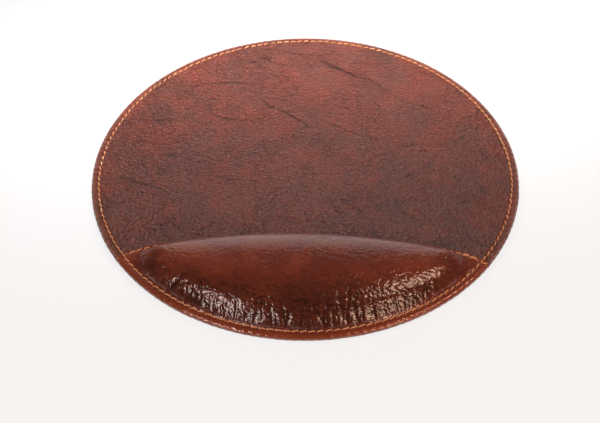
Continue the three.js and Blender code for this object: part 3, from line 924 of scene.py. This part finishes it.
foam_end = seam_end(-FOAM_INSET, SEAM_RADIUS - FOAM_INSET)
foam_corner = rear_seam(foam_end, -FOAM_INSET)
foam_right = math.atan2(foam_corner[1], foam_corner[0])
foam_angles = np.linspace(-math.pi - foam_right, foam_right, 2 * FOAM_STEPS + 1)
foam_along = np.linspace(foam_end, -foam_end, 2 * FOAM_STEPS + 1)
foam_loop = np.vstack([
    polar(SEAM_RADIUS - FOAM_INSET, foam_angles[:-1]),
    rear_seam(foam_along[:-1], -FOAM_INSET),
])
foam_grid = fill_outline(foam_loop, CROWN_MIDDLE)
foam_top = LEATHER_TOP + crown_scale * crown_height(foam_grid) - FOAM_COVERING
foam_top = np.clip(foam_top, LEATHER_BOTTOM + 0.2 * MM, foam_high.z)
foam_sheet = Sheet()
foam_numbers = foam_sheet.add(np.concatenate([foam_grid, foam_top[..., None]], -1))
foam_sheet.weave(foam_numbers)
foam_ring = foam_numbers[grid_edge(FOAM_STEPS + 1)]
foam_foot = foam_sheet.add(np.column_stack([foam_loop, np.full(len(foam_loop), LEATHER_BOTTOM)]))
foam_wall = np.column_stack([foam_ring, foam_foot])
foam_sheet.weave(np.vstack([foam_wall, foam_wall[:1]]))
foam_sheet.close(foam_foot)
foam_core = foam_sheet.make("wrist_rest_foam_core")

# %% [markdown]
# ## The suede underside
# A thin suede sheet under the board keeps the pad from sliding. A plain cylinder would do for its shape,
# but the edge seam goes through it and pulls a valley round its underside. So it is a grid bent into a
# disc, with a strip woven on for the valley and the cut edge.

# %% Suede base
BASE_STEPS = 60
SUEDE_SWELL = 0.02 * MM
SUEDE_VALLEY = 0.4 * MM

base_radius = base_high.x
base_ring_angles = np.linspace(0, 2 * math.pi, 4 * BASE_STEPS + 1)[:-1] - 0.75 * math.pi
base_inner = SEAM_RADIUS - 2 * MM
base_grid = fill_outline(polar(base_inner, base_ring_angles), np.zeros(2))
base_flat = np.concatenate([base_grid, np.zeros(base_grid.shape[:2] + (1,))], -1)
base_flat[..., 2] = base_low.z + SUEDE_SWELL * (1 + noise(base_flat, 9 * MM, 31))
base_run = np.linspace(base_inner, base_radius - 0.25 * MM, 14)[1:]
base_dip = base_low.z + SUEDE_VALLEY * np.exp(-(((base_run - SEAM_RADIUS) / VALLEY_WIDTH) ** 2))
edge_run = np.array([base_radius, base_radius, base_radius - 0.2 * MM])
edge_level = np.array([base_low.z + 0.2 * MM, base_high.z - 0.15 * MM, base_high.z])
base_radii = np.concatenate([base_run, edge_run])
base_levels = np.concatenate([base_dip, edge_level])
base_strip = np.concatenate([
    polar(base_radii[None], base_ring_angles[:, None]),
    np.broadcast_to(base_levels[None, :, None], (len(base_ring_angles), len(base_radii), 1)),
], -1)
suede = Sheet()
suede_numbers = suede.add(base_flat)
suede.weave(suede_numbers)
suede_chain = np.column_stack([suede_numbers[grid_edge(BASE_STEPS + 1)], suede.add(base_strip)])
suede.weave(np.vstack([suede_chain, suede_chain[:1]]))
suede.close(suede_chain[:, -1])
suede_base = suede.make("suede_underside")

# %% [markdown]
# ## Stitches
# A saddle of thread shows between each pair of holes. Thick leather thread is three strands twisted
# together, so each stitch is a tube with three lobes that turn along it. It rises out of one hole, lies
# a little aslant in the valley and dives into the next. Copies of one stitch along a curve would all be
# alike. Here one function makes them together, each slightly different, from a seeded random generator,
# so that the picture is the same each time.

# %% Twisted thread along lines of points
STRANDS = 3
STRAND_DEPTH = 0.17
THREAD_SIDES = 12


def twisted_thread(name, lines, lift, twist, radius, slim):
    """One mesh of many threads, each with a lobe for every strand, and twisted along its line."""
    tangent = np.gradient(lines, axis=1)
    tangent /= np.linalg.norm(tangent, axis=2, keepdims=True)
    normal = lift - tangent * (lift * tangent).sum(-1, keepdims=True)
    normal /= np.linalg.norm(normal, axis=2, keepdims=True)
    binormal = np.cross(tangent, normal)
    turn = np.linspace(0, 2 * math.pi, THREAD_SIDES + 1)[:-1][None, None]
    lobes = 1 - STRAND_DEPTH + STRAND_DEPTH * np.abs(np.cos(STRANDS / 2 * (turn - twist))) * 1.6
    spread = (radius * lobes * slim)[..., None]
    around = np.cos(turn)[..., None] * binormal[:, :, None] + np.sin(turn)[..., None] * normal[:, :, None]
    thread = Sheet()
    for tube in thread.add(lines[:, :, None] + spread * around):
        thread.weave(np.column_stack([tube, tube[:, 0]]))
        thread.close(tube[0])
        thread.close(tube[-1])
    return thread.make(name)


# %% One function for all the stitches
THREAD_LAY = 2.6 * MM
STITCH_STEPS = 17
HOLE_GAP = 0.11
HEIGHT_SPREAD, SLANT_SPREAD, SIDE_SPREAD = 0.05 * MM, 0.06 * MM, 0.05 * MM
chance = np.random.default_rng(5)


def stitches(name, starts, ends, up, radius, level, sink, slant):
    """One mesh of many stitches, each from a start hole to an end hole, and none quite like the next."""
    number = len(starts)
    run = ends - starts
    length = np.linalg.norm(run, axis=1)[:, None, None]
    ahead = run[:, None] / length
    lift = np.broadcast_to(up[:, None], (number, 1, 3))
    side = np.cross(lift, ahead)
    share = np.linspace(0, 1, STITCH_STEPS)[None, :, None]
    jitter = chance.normal(size=(4, number, 1, 1))
    hump = 1 - np.abs(2 * share - 1) ** 5
    height = -sink + (sink + level + HEIGHT_SPREAD * jitter[0]) * hump
    drift = (slant + SLANT_SPREAD * jitter[1]) * np.sin((share - 0.5) * math.pi)
    drift = drift + SIDE_SPREAD * jitter[2] * hump
    within = HOLE_GAP + (1 - 2 * HOLE_GAP) * share
    centre = starts[:, None] + ahead * length * within + lift * height + side * drift
    twist = 2 * math.pi * (share[..., 0] * length[..., 0] / THREAD_LAY)[..., None] + 3 * jitter[3]
    return twisted_thread(name, centre, lift, twist, radius, slim=0.8 + 0.2 * hump)


def upright(count):
    """A stack of unit vectors that point up."""
    return np.tile(np.array([0.0, 0.0, 1.0]), (count, 1))


# %% [markdown]
# ## Both seams
# The edge seam goes all the way round, over the folded edge at both tips, and its bottom thread shows on the
# underside. The rear seam ends at the tips. Its right end is sewn twice over so that it can't come loose,
# and its cut thread lies across the rim.

# %% Stitch both seams
THREAD_RADIUS = 0.38 * MM
SLANT = 0.26 * MM
NEEDLE_LEVEL = 0.02 * MM
NEEDLE_SINK = 1.0 * MM
BOBBIN_RADIUS = 0.3 * MM
BOBBIN_LEVEL, BOBBIN_SINK = 0.05 * MM, 0.4 * MM
BOBBIN_HEIGHT = 0.42 * MM
TIP_REACH = 2.5 * MM
LAP_SINK = 0.05 * MM
TACK_SHIFT = np.array([0.12, 0.3, 0.25]) * MM
TAIL_LENGTH, TAIL_DROP = 3.6 * MM, 0.3 * MM

ring = np.column_stack([polar(SEAM_RADIUS, edge_holes), np.full(len(edge_holes), LEATHER_TOP)])
from_tip = np.linalg.norm(np.abs(ring[:, :2]) - np.abs(tip), axis=1)
tip_height = np.exp(-((from_tip / TIP_REACH) ** 2))
ring[:, 2] += (LAP_TOP - LEATHER_TOP) * tip_height
edge_stitching = stitches(
    "edge_stitching", ring, np.roll(ring, -1, axis=0), upright(len(ring)),
    THREAD_RADIUS, NEEDLE_LEVEL, NEEDLE_SINK, SLANT,
)
rear_line = np.column_stack([rear_seam(rear_holes), np.full(len(rear_holes), LAP_TOP - LAP_SINK)])
tack = rear_line[:3] + TACK_SHIFT
cut_end = tip * (SEAM_RADIUS + TAIL_LENGTH) / SEAM_RADIUS
tail = np.array([[*tip, LAP_TOP], [*cut_end, LEATHER_TOP - TAIL_DROP]])
rear_starts = np.vstack([rear_line[:-1], tack[:-1], tail[:1]])
rear_ends = np.vstack([rear_line[1:], tack[1:], tail[1:]])
rear_stitching = stitches(
    "rear_stitching", rear_starts, rear_ends, upright(len(rear_starts)),
    THREAD_RADIUS, NEEDLE_LEVEL, NEEDLE_SINK, SLANT,
)
under_ring = ring * np.array([1, 1, 0]) + np.array([0, 0, base_low.z + BOBBIN_HEIGHT])
edge_bobbin = stitches(
    "edge_bobbin_stitching", under_ring, np.roll(under_ring, -1, axis=0), -upright(len(ring)),
    BOBBIN_RADIUS, BOBBIN_LEVEL, BOBBIN_SINK, -SLANT,
)

# %% [markdown]
# ## Fit the new pieces to the frame
# The pad has no moving parts, so each new piece rides on its one body. Each stands in for the solid that it
# was built from, and that solid is hidden.

# %% Ride on the body and replace the solids
FITTED = [
    (mouse_panel, "mouse_panel", "waxed_leather"),
    (wrist_cover, "wrist_rest_cover", "polished_leather"),
    (foam_core, "wrist_rest_foam", "foam"),
    (suede_base, "base_sheet", "suede"),
    (edge_stitching, "edge_needle_thread", "thread"),
    (rear_stitching, "rest_needle_thread", "thread"),
    (edge_bobbin, "edge_bobbin_thread", "thread"),
]
for piece, node_name, slot_name in FITTED:
    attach(piece, "root")
    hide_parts(node_name)
print("fitted", len(FITTED), "pieces")

# %% [markdown]
# ## Materials
# Colours are written as the sRGB codes of a colour picker and turned into the linear values that Blender
# works in. Patterns take their scale from a real size: a texture's scale is one over the size of its
# lumps in metres. All textures are worked out from the place of each point, so no image is needed.


# %% Colours and scales
def colour(code):
    """An sRGB hex colour as linear red, green, blue and alpha."""
    shares = [int(code[start:start + 2], 16) / 255 for start in (1, 3, 5)]
    linear = [share / 12.92 if share <= 0.04045 else ((share + 0.055) / 1.055) ** 2.4 for share in shares]
    return (*linear, 1.0)


def lumps(size):
    """A texture scale that gives lumps of a real size."""
    return 1 / size


# %% One function for every node
def add_node(tree, kind, inputs=None, **settings):
    """One node with its settings. An input is a value, a hex colour, another node or a node's output."""
    node = tree.nodes.new(kind)
    for name, value in settings.items():
        setattr(node, name, value)
    for name, value in (inputs or {}).items():
        if isinstance(value, bpy.types.Node):
            value = next(output for output in value.outputs if output.enabled)
        if isinstance(value, bpy.types.NodeSocket):
            tree.links.new(value, node.inputs[name])
        else:
            node.inputs[name].default_value = colour(value) if isinstance(value, str) else value
    return node


# %% An empty material
# The Mix node has sockets for numbers, vectors and colours under the same names: these take the colours
FROM_COLOUR, TO_COLOUR = 6, 7


def new_material(name):
    """An empty material, its node tree and the place of each point on the piece."""
    material = bpy.data.materials.new(name)
    material.use_nodes = True
    material.node_tree.nodes.clear()
    place = add_node(material.node_tree, "ShaderNodeTexCoord").outputs["Object"]
    return material, material.node_tree, place


# %% [markdown]
# ### The relief of leather
# Close up, a hide has wrinkles that run one way in one patch and another way in the next, deeper furrows
# between them, and pebbles of grain with pores. One noise texture looks like clouds, not like skin. So the
# wrinkles are the zero lines of noise that is stretched in three directions, mixed by patches, and the
# pebbles are the cells of a Voronoi texture, bent so that no two are alike.


# %% Sums of patterns
def weighted_sum(tree, parts):
    """The sum of several values, each times its weight."""
    total = 0.0
    for value, weight in parts:
        total = add_node(tree, "ShaderNodeMath", {0: value, 1: weight, 2: total}, operation="MULTIPLY_ADD")
    return total


# %% Wrinkles and furrows
PATCH_SIZE = 20 * MM
WRINKLE_WAYS = [math.radians(angle) for angle in (-12, 38, -56)]


def hide_pattern(tree, place, size, valley_share):
    """Wrinkles that run several ways in patches: 1 along each valley, 0 on the ridges."""
    patches = add_node(
        tree, "ShaderNodeTexNoise", {"Vector": place, "Scale": lumps(PATCH_SIZE), "Detail": 2.0}
    )
    shares = add_node(tree, "ShaderNodeSeparateColor", {"Color": patches.outputs["Color"]})
    parts = []
    for way, share in zip(WRINKLE_WAYS, shares.outputs):
        along = add_node(
            tree, "ShaderNodeMapping", {"Vector": place, "Rotation": (0, 0, way), "Scale": (2, 1, 1)},
            vector_type="TEXTURE",
        )
        field = add_node(
            tree, "ShaderNodeTexNoise", {"Vector": along, "Scale": lumps(size), "Detail": 2.0},
            normalize=False,
        )
        away = add_node(tree, "ShaderNodeMath", {0: field}, operation="ABSOLUTE")
        valley = add_node(
            tree, "ShaderNodeMapRange", {"Value": away, "From Max": valley_share, "To Min": 1, "To Max": 0}
        )
        weight = add_node(
            tree, "ShaderNodeMapRange", {"Value": share, "From Min": 0.42, "From Max": 0.6, "To Min": 0.3}
        )
        parts.append((valley, weight))
    return weighted_sum(tree, parts)


# %% Pebbled grain
# Real grain is about 1 mm and pores 0.2 mm, too fine to show here, so both are drawn coarser
GRAIN_SIZE = 2.6 * MM
PORE_SIZE = 0.8 * MM


def pebbled_grain(tree, place):
    """Pebbles of grain, 1 in the valleys between them."""
    bend = add_node(
        tree, "ShaderNodeTexNoise", {"Vector": place, "Scale": lumps(2 * GRAIN_SIZE), "Detail": 2.0}
    )
    warped = add_node(
        tree, "ShaderNodeVectorMath", {0: bend.outputs["Color"], 1: (1.2 * GRAIN_SIZE,) * 3, 2: place},
        operation="MULTIPLY_ADD",
    )
    pebbles = add_node(
        tree, "ShaderNodeTexVoronoi", {"Vector": warped, "Scale": lumps(GRAIN_SIZE)},
        feature="DISTANCE_TO_EDGE",
    )
    return add_node(
        tree, "ShaderNodeMapRange", {"Value": pebbles, "From Max": 0.22, "To Min": 1, "To Max": 0}
    )


# %% [markdown]
# ### Leather
# The mouse panel is full-grain cowhide, dyed with aniline and waxed. It gives the eye a mottled red-brown
# with a soft sheen. The cushion's cover is the same hide, polished by hand, so it is smoother and mirrors
# the lamps in broken patches. Both have shade painted darker into their creases, the valleys of their relief
# and their needle holes. Both are more orange where they are pulled tight, and the same orange is painted
# light on the cushion's ends. One function makes both, because only the tones, the gloss and the depth of the
# relief differ. The wax is a coat over the leather. Plain wax has an index of refraction of about 1.45, and
# the coat's was raised until the highlights were as bright as on the real pad.


# %% Layers of colour
def layered_tone(tree, tone, layers):
    """A tone under layers of others, each with where it lies, the values it comes in between and how much."""
    for value, low, high, most, next_tone in layers:
        share = add_node(
            tree, "ShaderNodeMapRange", {"Value": value, "From Min": low, "From Max": high, "To Max": most}
        )
        tone = add_node(
            tree, "ShaderNodeMix", {"Factor": share, FROM_COLOUR: tone, TO_COLOUR: next_tone},
            data_type="RGBA",
        )
    return tone


# %% One function for both leathers
BROAD_MOTTLE = 30 * MM
CLOUDY_MOTTLE = 12 * MM
WRINKLE_SIZE = 4.2 * MM
FURROW_SIZE = 8 * MM
# The orange of leather pulled tight, also used as painted light on the cushion's ends
PULLED_AND_LIT_TONE = "#9a4c2a"
# Near-black painted shade in the needle holes
HOLE_SHADE_TONE = "#120906"


def leather(name, tones, shade_tone, shine_tone, dullness, wrinkle_depth, grain_depth):
    """Full-grain leather: mottled dye, painted shade in creases and valleys, a coat of wax, relief depths in
    mm.
    """
    material, tree, place = new_material(name)
    broad, cloudy, pores = [
        add_node(tree, "ShaderNodeTexNoise", {"Vector": place, "Scale": lumps(size), "Detail": detail})
        for size, detail in ((BROAD_MOTTLE, 5.0), (CLOUDY_MOTTLE, 6.0), (PORE_SIZE, 3.0))
    ]
    wrinkles = hide_pattern(tree, place, WRINKLE_SIZE, 0.2)
    furrows = hide_pattern(tree, place, FURROW_SIZE, 0.06)
    grain = pebbled_grain(tree, place)
    creased, stretched, pierced = [
        add_node(tree, "ShaderNodeAttribute", attribute_name=mark_name).outputs["Fac"]
        for mark_name in ("creased", "stretched", "pierced")
    ]
    # Painted shade in the valleys of the wrinkles, furrows and grain and in the marked creases, with a random
    # speckle of pores
    valley_shade_and_speckle = weighted_sum(tree, [
        (wrinkles, 0.4 * wrinkle_depth),
        (furrows, 0.08 + 0.55 * wrinkle_depth),
        (grain, 0.1 + 0.55 * grain_depth),
        (pores, 0.2),
        (creased, 1.0),
    ])
    tone = layered_tone(tree, tones[0], [
        (broad, 0.4, 0.6, 1.0, tones[1]),
        (cloudy, 0.46, 0.72, 0.8, tones[2]),
        # Painted shade: valleys and marked creases darken towards the shade tone
        (valley_shade_and_speckle, 0.2, 1.2, 1.0, shade_tone),
        # More orange where the leather is pulled tight, and painted light on the cushion's ends
        (stretched, 0.0, 1.0, 0.6, PULLED_AND_LIT_TONE),
        # Painted shade in the needle holes
        (pierced, 0.1, 0.5, 1.0, HOLE_SHADE_TONE),
    ])
    height = weighted_sum(tree, [
        (wrinkles, -wrinkle_depth), (furrows, -wrinkle_depth), (grain, -grain_depth), (pores, grain_depth),
    ])
    bump = add_node(tree, "ShaderNodeBump", {"Height": height, "Strength": 1.0, "Distance": MM})
    wear = add_node(
        tree, "ShaderNodeMapRange",
        {"Value": valley_shade_and_speckle, "From Min": 0.2, "From Max": 1.0, "To Min": 0.34, "To Max": 0.55},
    )
    surface = add_node(
        tree, "ShaderNodeBsdfPrincipled",
        {
            "Base Color": tone, "Roughness": wear, "Normal": bump,
            "Specular IOR Level": 0.5, "Specular Tint": shine_tone,
            "Coat Weight": 1.0, "Coat IOR": 1.7, "Coat Roughness": dullness, "Coat Normal": bump,
        },
    )
    add_node(tree, "ShaderNodeOutputMaterial", {"Surface": surface})
    return material


# %% The two leathers
# The colour after the tones is each leather's painted shade
# Waxed: a dull coat over a deep relief, which breaks the light into fine lines
waxed_leather = leather(
    "waxed_aniline_leather", ["#78372a", "#68362d", "#883727"], "#2c100a", "#ffd8c8",
    dullness=0.34, wrinkle_depth=0.46, grain_depth=0.46,
)
# Polished: a glossy coat over a relief that was rubbed nearly flat, with a warm glow round each highlight
polished_leather = leather(
    "hand_polished_leather", ["#8a4233", "#7a3b2d", "#994b33"], "#260c07", "#ff9a74",
    dullness=0.13, wrinkle_depth=0.04, grain_depth=0.03,
)
print("made", waxed_leather.name, "and", polished_leather.name)

# %% [markdown]
# ### Thread, suede, foam and board
# The other materials are simpler: two mingled tones and a slightly uneven surface. One function serves them
# all. Foam, board and card stay hidden inside the pad, and need only their own colour and roughness.


# %% Materials in two tones
def two_tone(name, first, second, size, roughness, sheen, depth):
    """A material with two mingled tones and an uneven surface, with lumps and depth in metres."""
    material, tree, place = new_material(name)
    patches = add_node(tree, "ShaderNodeTexNoise", {"Vector": place, "Scale": lumps(size), "Detail": 5.0})
    share = add_node(tree, "ShaderNodeMapRange", {"Value": patches, "From Min": 0.35, "From Max": 0.65})
    tone = add_node(
        tree, "ShaderNodeMix", {"Factor": share, FROM_COLOUR: first, TO_COLOUR: second}, data_type="RGBA"
    )
    bump = add_node(tree, "ShaderNodeBump", {"Height": patches, "Strength": 0.6, "Distance": depth})
    surface = add_node(
        tree, "ShaderNodeBsdfPrincipled",
        {"Base Color": tone, "Roughness": roughness, "Sheen Weight": sheen, "Normal": bump},
    )
    add_node(tree, "ShaderNodeOutputMaterial", {"Surface": surface})
    return material


# %% The simpler materials
# Twisted polyester drawn through wax: orange, with paler fibres that catch the light
waxed_thread = two_tone("waxed_twisted_thread", "#f4be90", "#e08d54", 0.5 * MM, 0.42, 0.3, 0.03 * MM)
# Leather sanded to a nap: matt, with a soft sheen. The real nap is finer than it is drawn here
brushed_suede = two_tone("brushed_suede", "#5a3a2c", "#47291e", 1.5 * MM, 0.95, 0.6, 0.2 * MM)
# Polyurethane foam with open cells: pale and matt
open_cell_foam = two_tone("open_cell_foam", "#d9d2bd", "#c4bba2", 1.2 * MM, 0.9, 0.2, 0.3 * MM)
# Board pressed from leather and paper fibre: greyish brown, slightly mottled
fibre_board = two_tone("pressed_fibre_board", "#9c8f7c", "#857865", 2 * MM, 0.85, 0.0, 0.1 * MM)
# Uncoated card: plain and matt
plain_card = two_tone("plain_card", "#b3a48c", "#a08f76", 3 * MM, 0.85, 0.0, 0.05 * MM)
print("made", waxed_thread.name, brushed_suede.name, open_cell_foam.name, fibre_board.name, plain_card.name)

# %% Give each piece its material
FINISHES = [
    (mouse_panel, waxed_leather),
    (wrist_cover, polished_leather),
    (foam_core, open_cell_foam),
    (suede_base, brushed_suede),
    (edge_stitching, waxed_thread),
    (rear_stitching, waxed_thread),
    (edge_bobbin, waxed_thread),
    (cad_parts["rest_bobbin_thread"], waxed_thread),
    (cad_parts["core_board"], fibre_board),
    (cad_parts["infill_sheet"], plain_card),
]
for piece, finish in FINISHES:
    piece.data.materials.clear()
    piece.data.materials.append(finish)
print("finished", len(FINISHES), "pieces")

# %% [markdown]
# ## The floor
# The pad lies on a sweep of white paper. Real white paper would throw light back at the leather from below,
# so the paper is grey to the lamps. It glows only for rays that come from the camera or from a mirror, and
# so it looks white without lighting the pad, and still keeps the pad's shadow.

# %% White floor
BACKGROUND = 0.8

bpy.ops.mesh.primitive_plane_add(size=6, location=(0, 0, base_low.z - 0.2 * MM))
floor = bpy.context.object
floor.name = "white_sweep"

paper_sweep, tree, _ = new_material("white_paper_sweep")
paper = add_node(tree, "ShaderNodeBsdfDiffuse", {"Color": "#7c7c7c"})
glow = add_node(tree, "ShaderNodeEmission", {"Color": "#ffffff", "Strength": BACKGROUND})
ray = add_node(tree, "ShaderNodeLightPath").outputs
seen = add_node(
    tree, "ShaderNodeMath", {0: ray["Is Camera Ray"], 1: ray["Is Transmission Ray"]}, operation="MAXIMUM"
)
seen = add_node(tree, "ShaderNodeMath", {0: seen, 1: ray["Is Glossy Ray"]}, operation="MAXIMUM")
lit = add_node(tree, "ShaderNodeAddShader", {0: paper, 1: glow})
mixed = add_node(tree, "ShaderNodeMixShader", {"Fac": seen, 1: paper, 2: lit})
add_node(tree, "ShaderNodeOutputMaterial", {"Surface": mixed})
floor.data.materials.append(paper_sweep)
print("floor", round(floor.dimensions.x, 1), "m wide")

# %% [markdown]
# ## The room
# The camera sees the room as white as the floor, so that no horizon shows. To the pad it is nearly dark,
# because in a white room the glossy cushion would mirror white all over. Only a low band behind the pad is
# mirrored, where the floor runs up into the backdrop.

# %% White backdrop in a dim room
world = bpy.data.worlds.new("white_room")
bpy.context.scene.world = world
world.use_nodes = True
tree = world.node_tree
tree.nodes.clear()
heading = add_node(tree, "ShaderNodeTexCoord").outputs["Generated"]
axes = add_node(tree, "ShaderNodeSeparateXYZ", {"Vector": heading}).outputs
behind = add_node(tree, "ShaderNodeMapRange", {"Value": axes["Y"], "From Min": 0.1, "From Max": 0.6})
low = add_node(
    tree, "ShaderNodeMapRange",
    {"Value": axes["Z"], "From Min": 0.0, "From Max": 0.1, "To Min": 1.0, "To Max": 0.0},
)
wall = add_node(tree, "ShaderNodeMath", {0: behind, 1: low}, operation="MULTIPLY")
ray = add_node(tree, "ShaderNodeLightPath").outputs
mirrored = add_node(tree, "ShaderNodeMath", {0: wall, 1: ray["Is Glossy Ray"]}, operation="MULTIPLY")
seen = add_node(
    tree, "ShaderNodeMath", {0: ray["Is Camera Ray"], 1: ray["Is Transmission Ray"]}, operation="MAXIMUM"
)
seen = add_node(tree, "ShaderNodeMath", {0: seen, 1: mirrored}, operation="MAXIMUM")
dim = add_node(tree, "ShaderNodeBackground", {"Color": "#ffffff", "Strength": 0.03})
white = add_node(tree, "ShaderNodeBackground", {"Color": "#ffffff", "Strength": BACKGROUND})
mixed = add_node(tree, "ShaderNodeMixShader", {"Fac": seen, 1: dim, 2: white})
add_node(tree, "ShaderNodeOutputWorld", {"Surface": mixed})
print("room", world.name)

# %% [markdown]
# ## The lamps
# A light over the far edge makes the flat leather lighter there and lets it darken towards the cushion. A
# softbox behind is mirrored in the cushion's far slope. A strip at the left and two slightly warm lamps at
# the right stand where the front of the cushion mirrors them to the camera, and give it its highlights.


# %% Soft lights
def soft_light(name, place, target, width, depth, power, tint="#ffffff", turn=0.0):
    """A rectangular softbox at a place, facing a target and turned about its own axis by degrees."""
    lamp = bpy.data.lights.new(name, "AREA")
    lamp.shape = "RECTANGLE"
    lamp.size = width
    lamp.size_y = depth
    lamp.energy = power
    lamp.color = colour(tint)[:3]
    holder = bpy.data.objects.new(name, lamp)
    bpy.context.scene.collection.objects.link(holder)
    facing = (Vector(target) - Vector(place)).to_track_quat("-Z", "Y").to_matrix().to_4x4()
    holder.matrix_world = Matrix.Translation(place) @ facing @ Matrix.Rotation(math.radians(turn), 4, "Z")
    return holder


CUSHION_LEFT = (-0.035, -0.1, 0.01)
CUSHION_RIGHT = (0.04, -0.1, 0.01)
CUSHION_RIGHT_END = (0.058, -0.088, 0.01)

far_light = soft_light("light_over_far_edge", (-0.015, 0.2, 0.22), (0, 0.1, 0), 0.4, 0.06, 0.48)
far_light.data.spread = math.radians(60)
# The cushion would mirror this lamp as a hard white bar, so only its spread light is kept
far_light.visible_glossy = False
soft_light("softbox_behind", (0, 0.32, 0.13), (0, 0, 0), 0.4, 0.22, 0.17)
soft_light("strip_light_left", (-0.27, -0.36, 0.305), CUSHION_LEFT, 0.06, 0.42, 0.9, "#ffe8e0", turn=39)
soft_light("lamp_upper_right", (0.317, -0.01, 0.49), CUSHION_RIGHT_END, 0.18, 0.16, 0.7, "#ffd2b6")
soft_light("lamp_low_right", (0.32, -0.4, 0.24), CUSHION_RIGHT, 0.12, 0.28, 0.8, "#ffd0b2")
print(len(bpy.data.lights), "lamps")

# %% [markdown]
# ## Camera
# The view was matched to a photograph of such a pad, by fitting the ellipse of the rim and of the stitching:
# a long lens, looking down at about 46 degrees, turned slightly to the left. The fit gave the lens in pixels
# of a picture 600 wide, which is turned into millimetres here.

# %% Camera
IMAGE_WIDTH = 600
FOCAL_PIXELS = 1242.4
CAMERA_PLACE = (0.0142, -0.5027, 0.4935)
PITCH = math.radians(46.11)
YAW = math.radians(-1.97)
ROLL = math.radians(-0.54)

view = bpy.data.cameras.new("camera")
view.sensor_width = 36
view.lens = FOCAL_PIXELS * view.sensor_width / IMAGE_WIDTH
camera = bpy.data.objects.new("camera", view)
bpy.context.scene.collection.objects.link(camera)
forward = Vector((math.sin(YAW) * math.cos(PITCH), math.cos(YAW) * math.cos(PITCH), -math.sin(PITCH)))
level_right = Vector((math.cos(YAW), -math.sin(YAW), 0))
level_up = level_right.cross(forward)
right = level_right * math.cos(ROLL) + level_up * math.sin(ROLL)
upward = level_up * math.cos(ROLL) - level_right * math.sin(ROLL)
turned = Matrix((right, upward, -forward)).transposed().to_4x4()
camera.matrix_world = Matrix.Translation(CAMERA_PLACE) @ turned
bpy.context.scene.camera = camera
bpy.context.scene.view_settings.view_transform = "Standard"
print(f"lens {view.lens:.1f} mm")
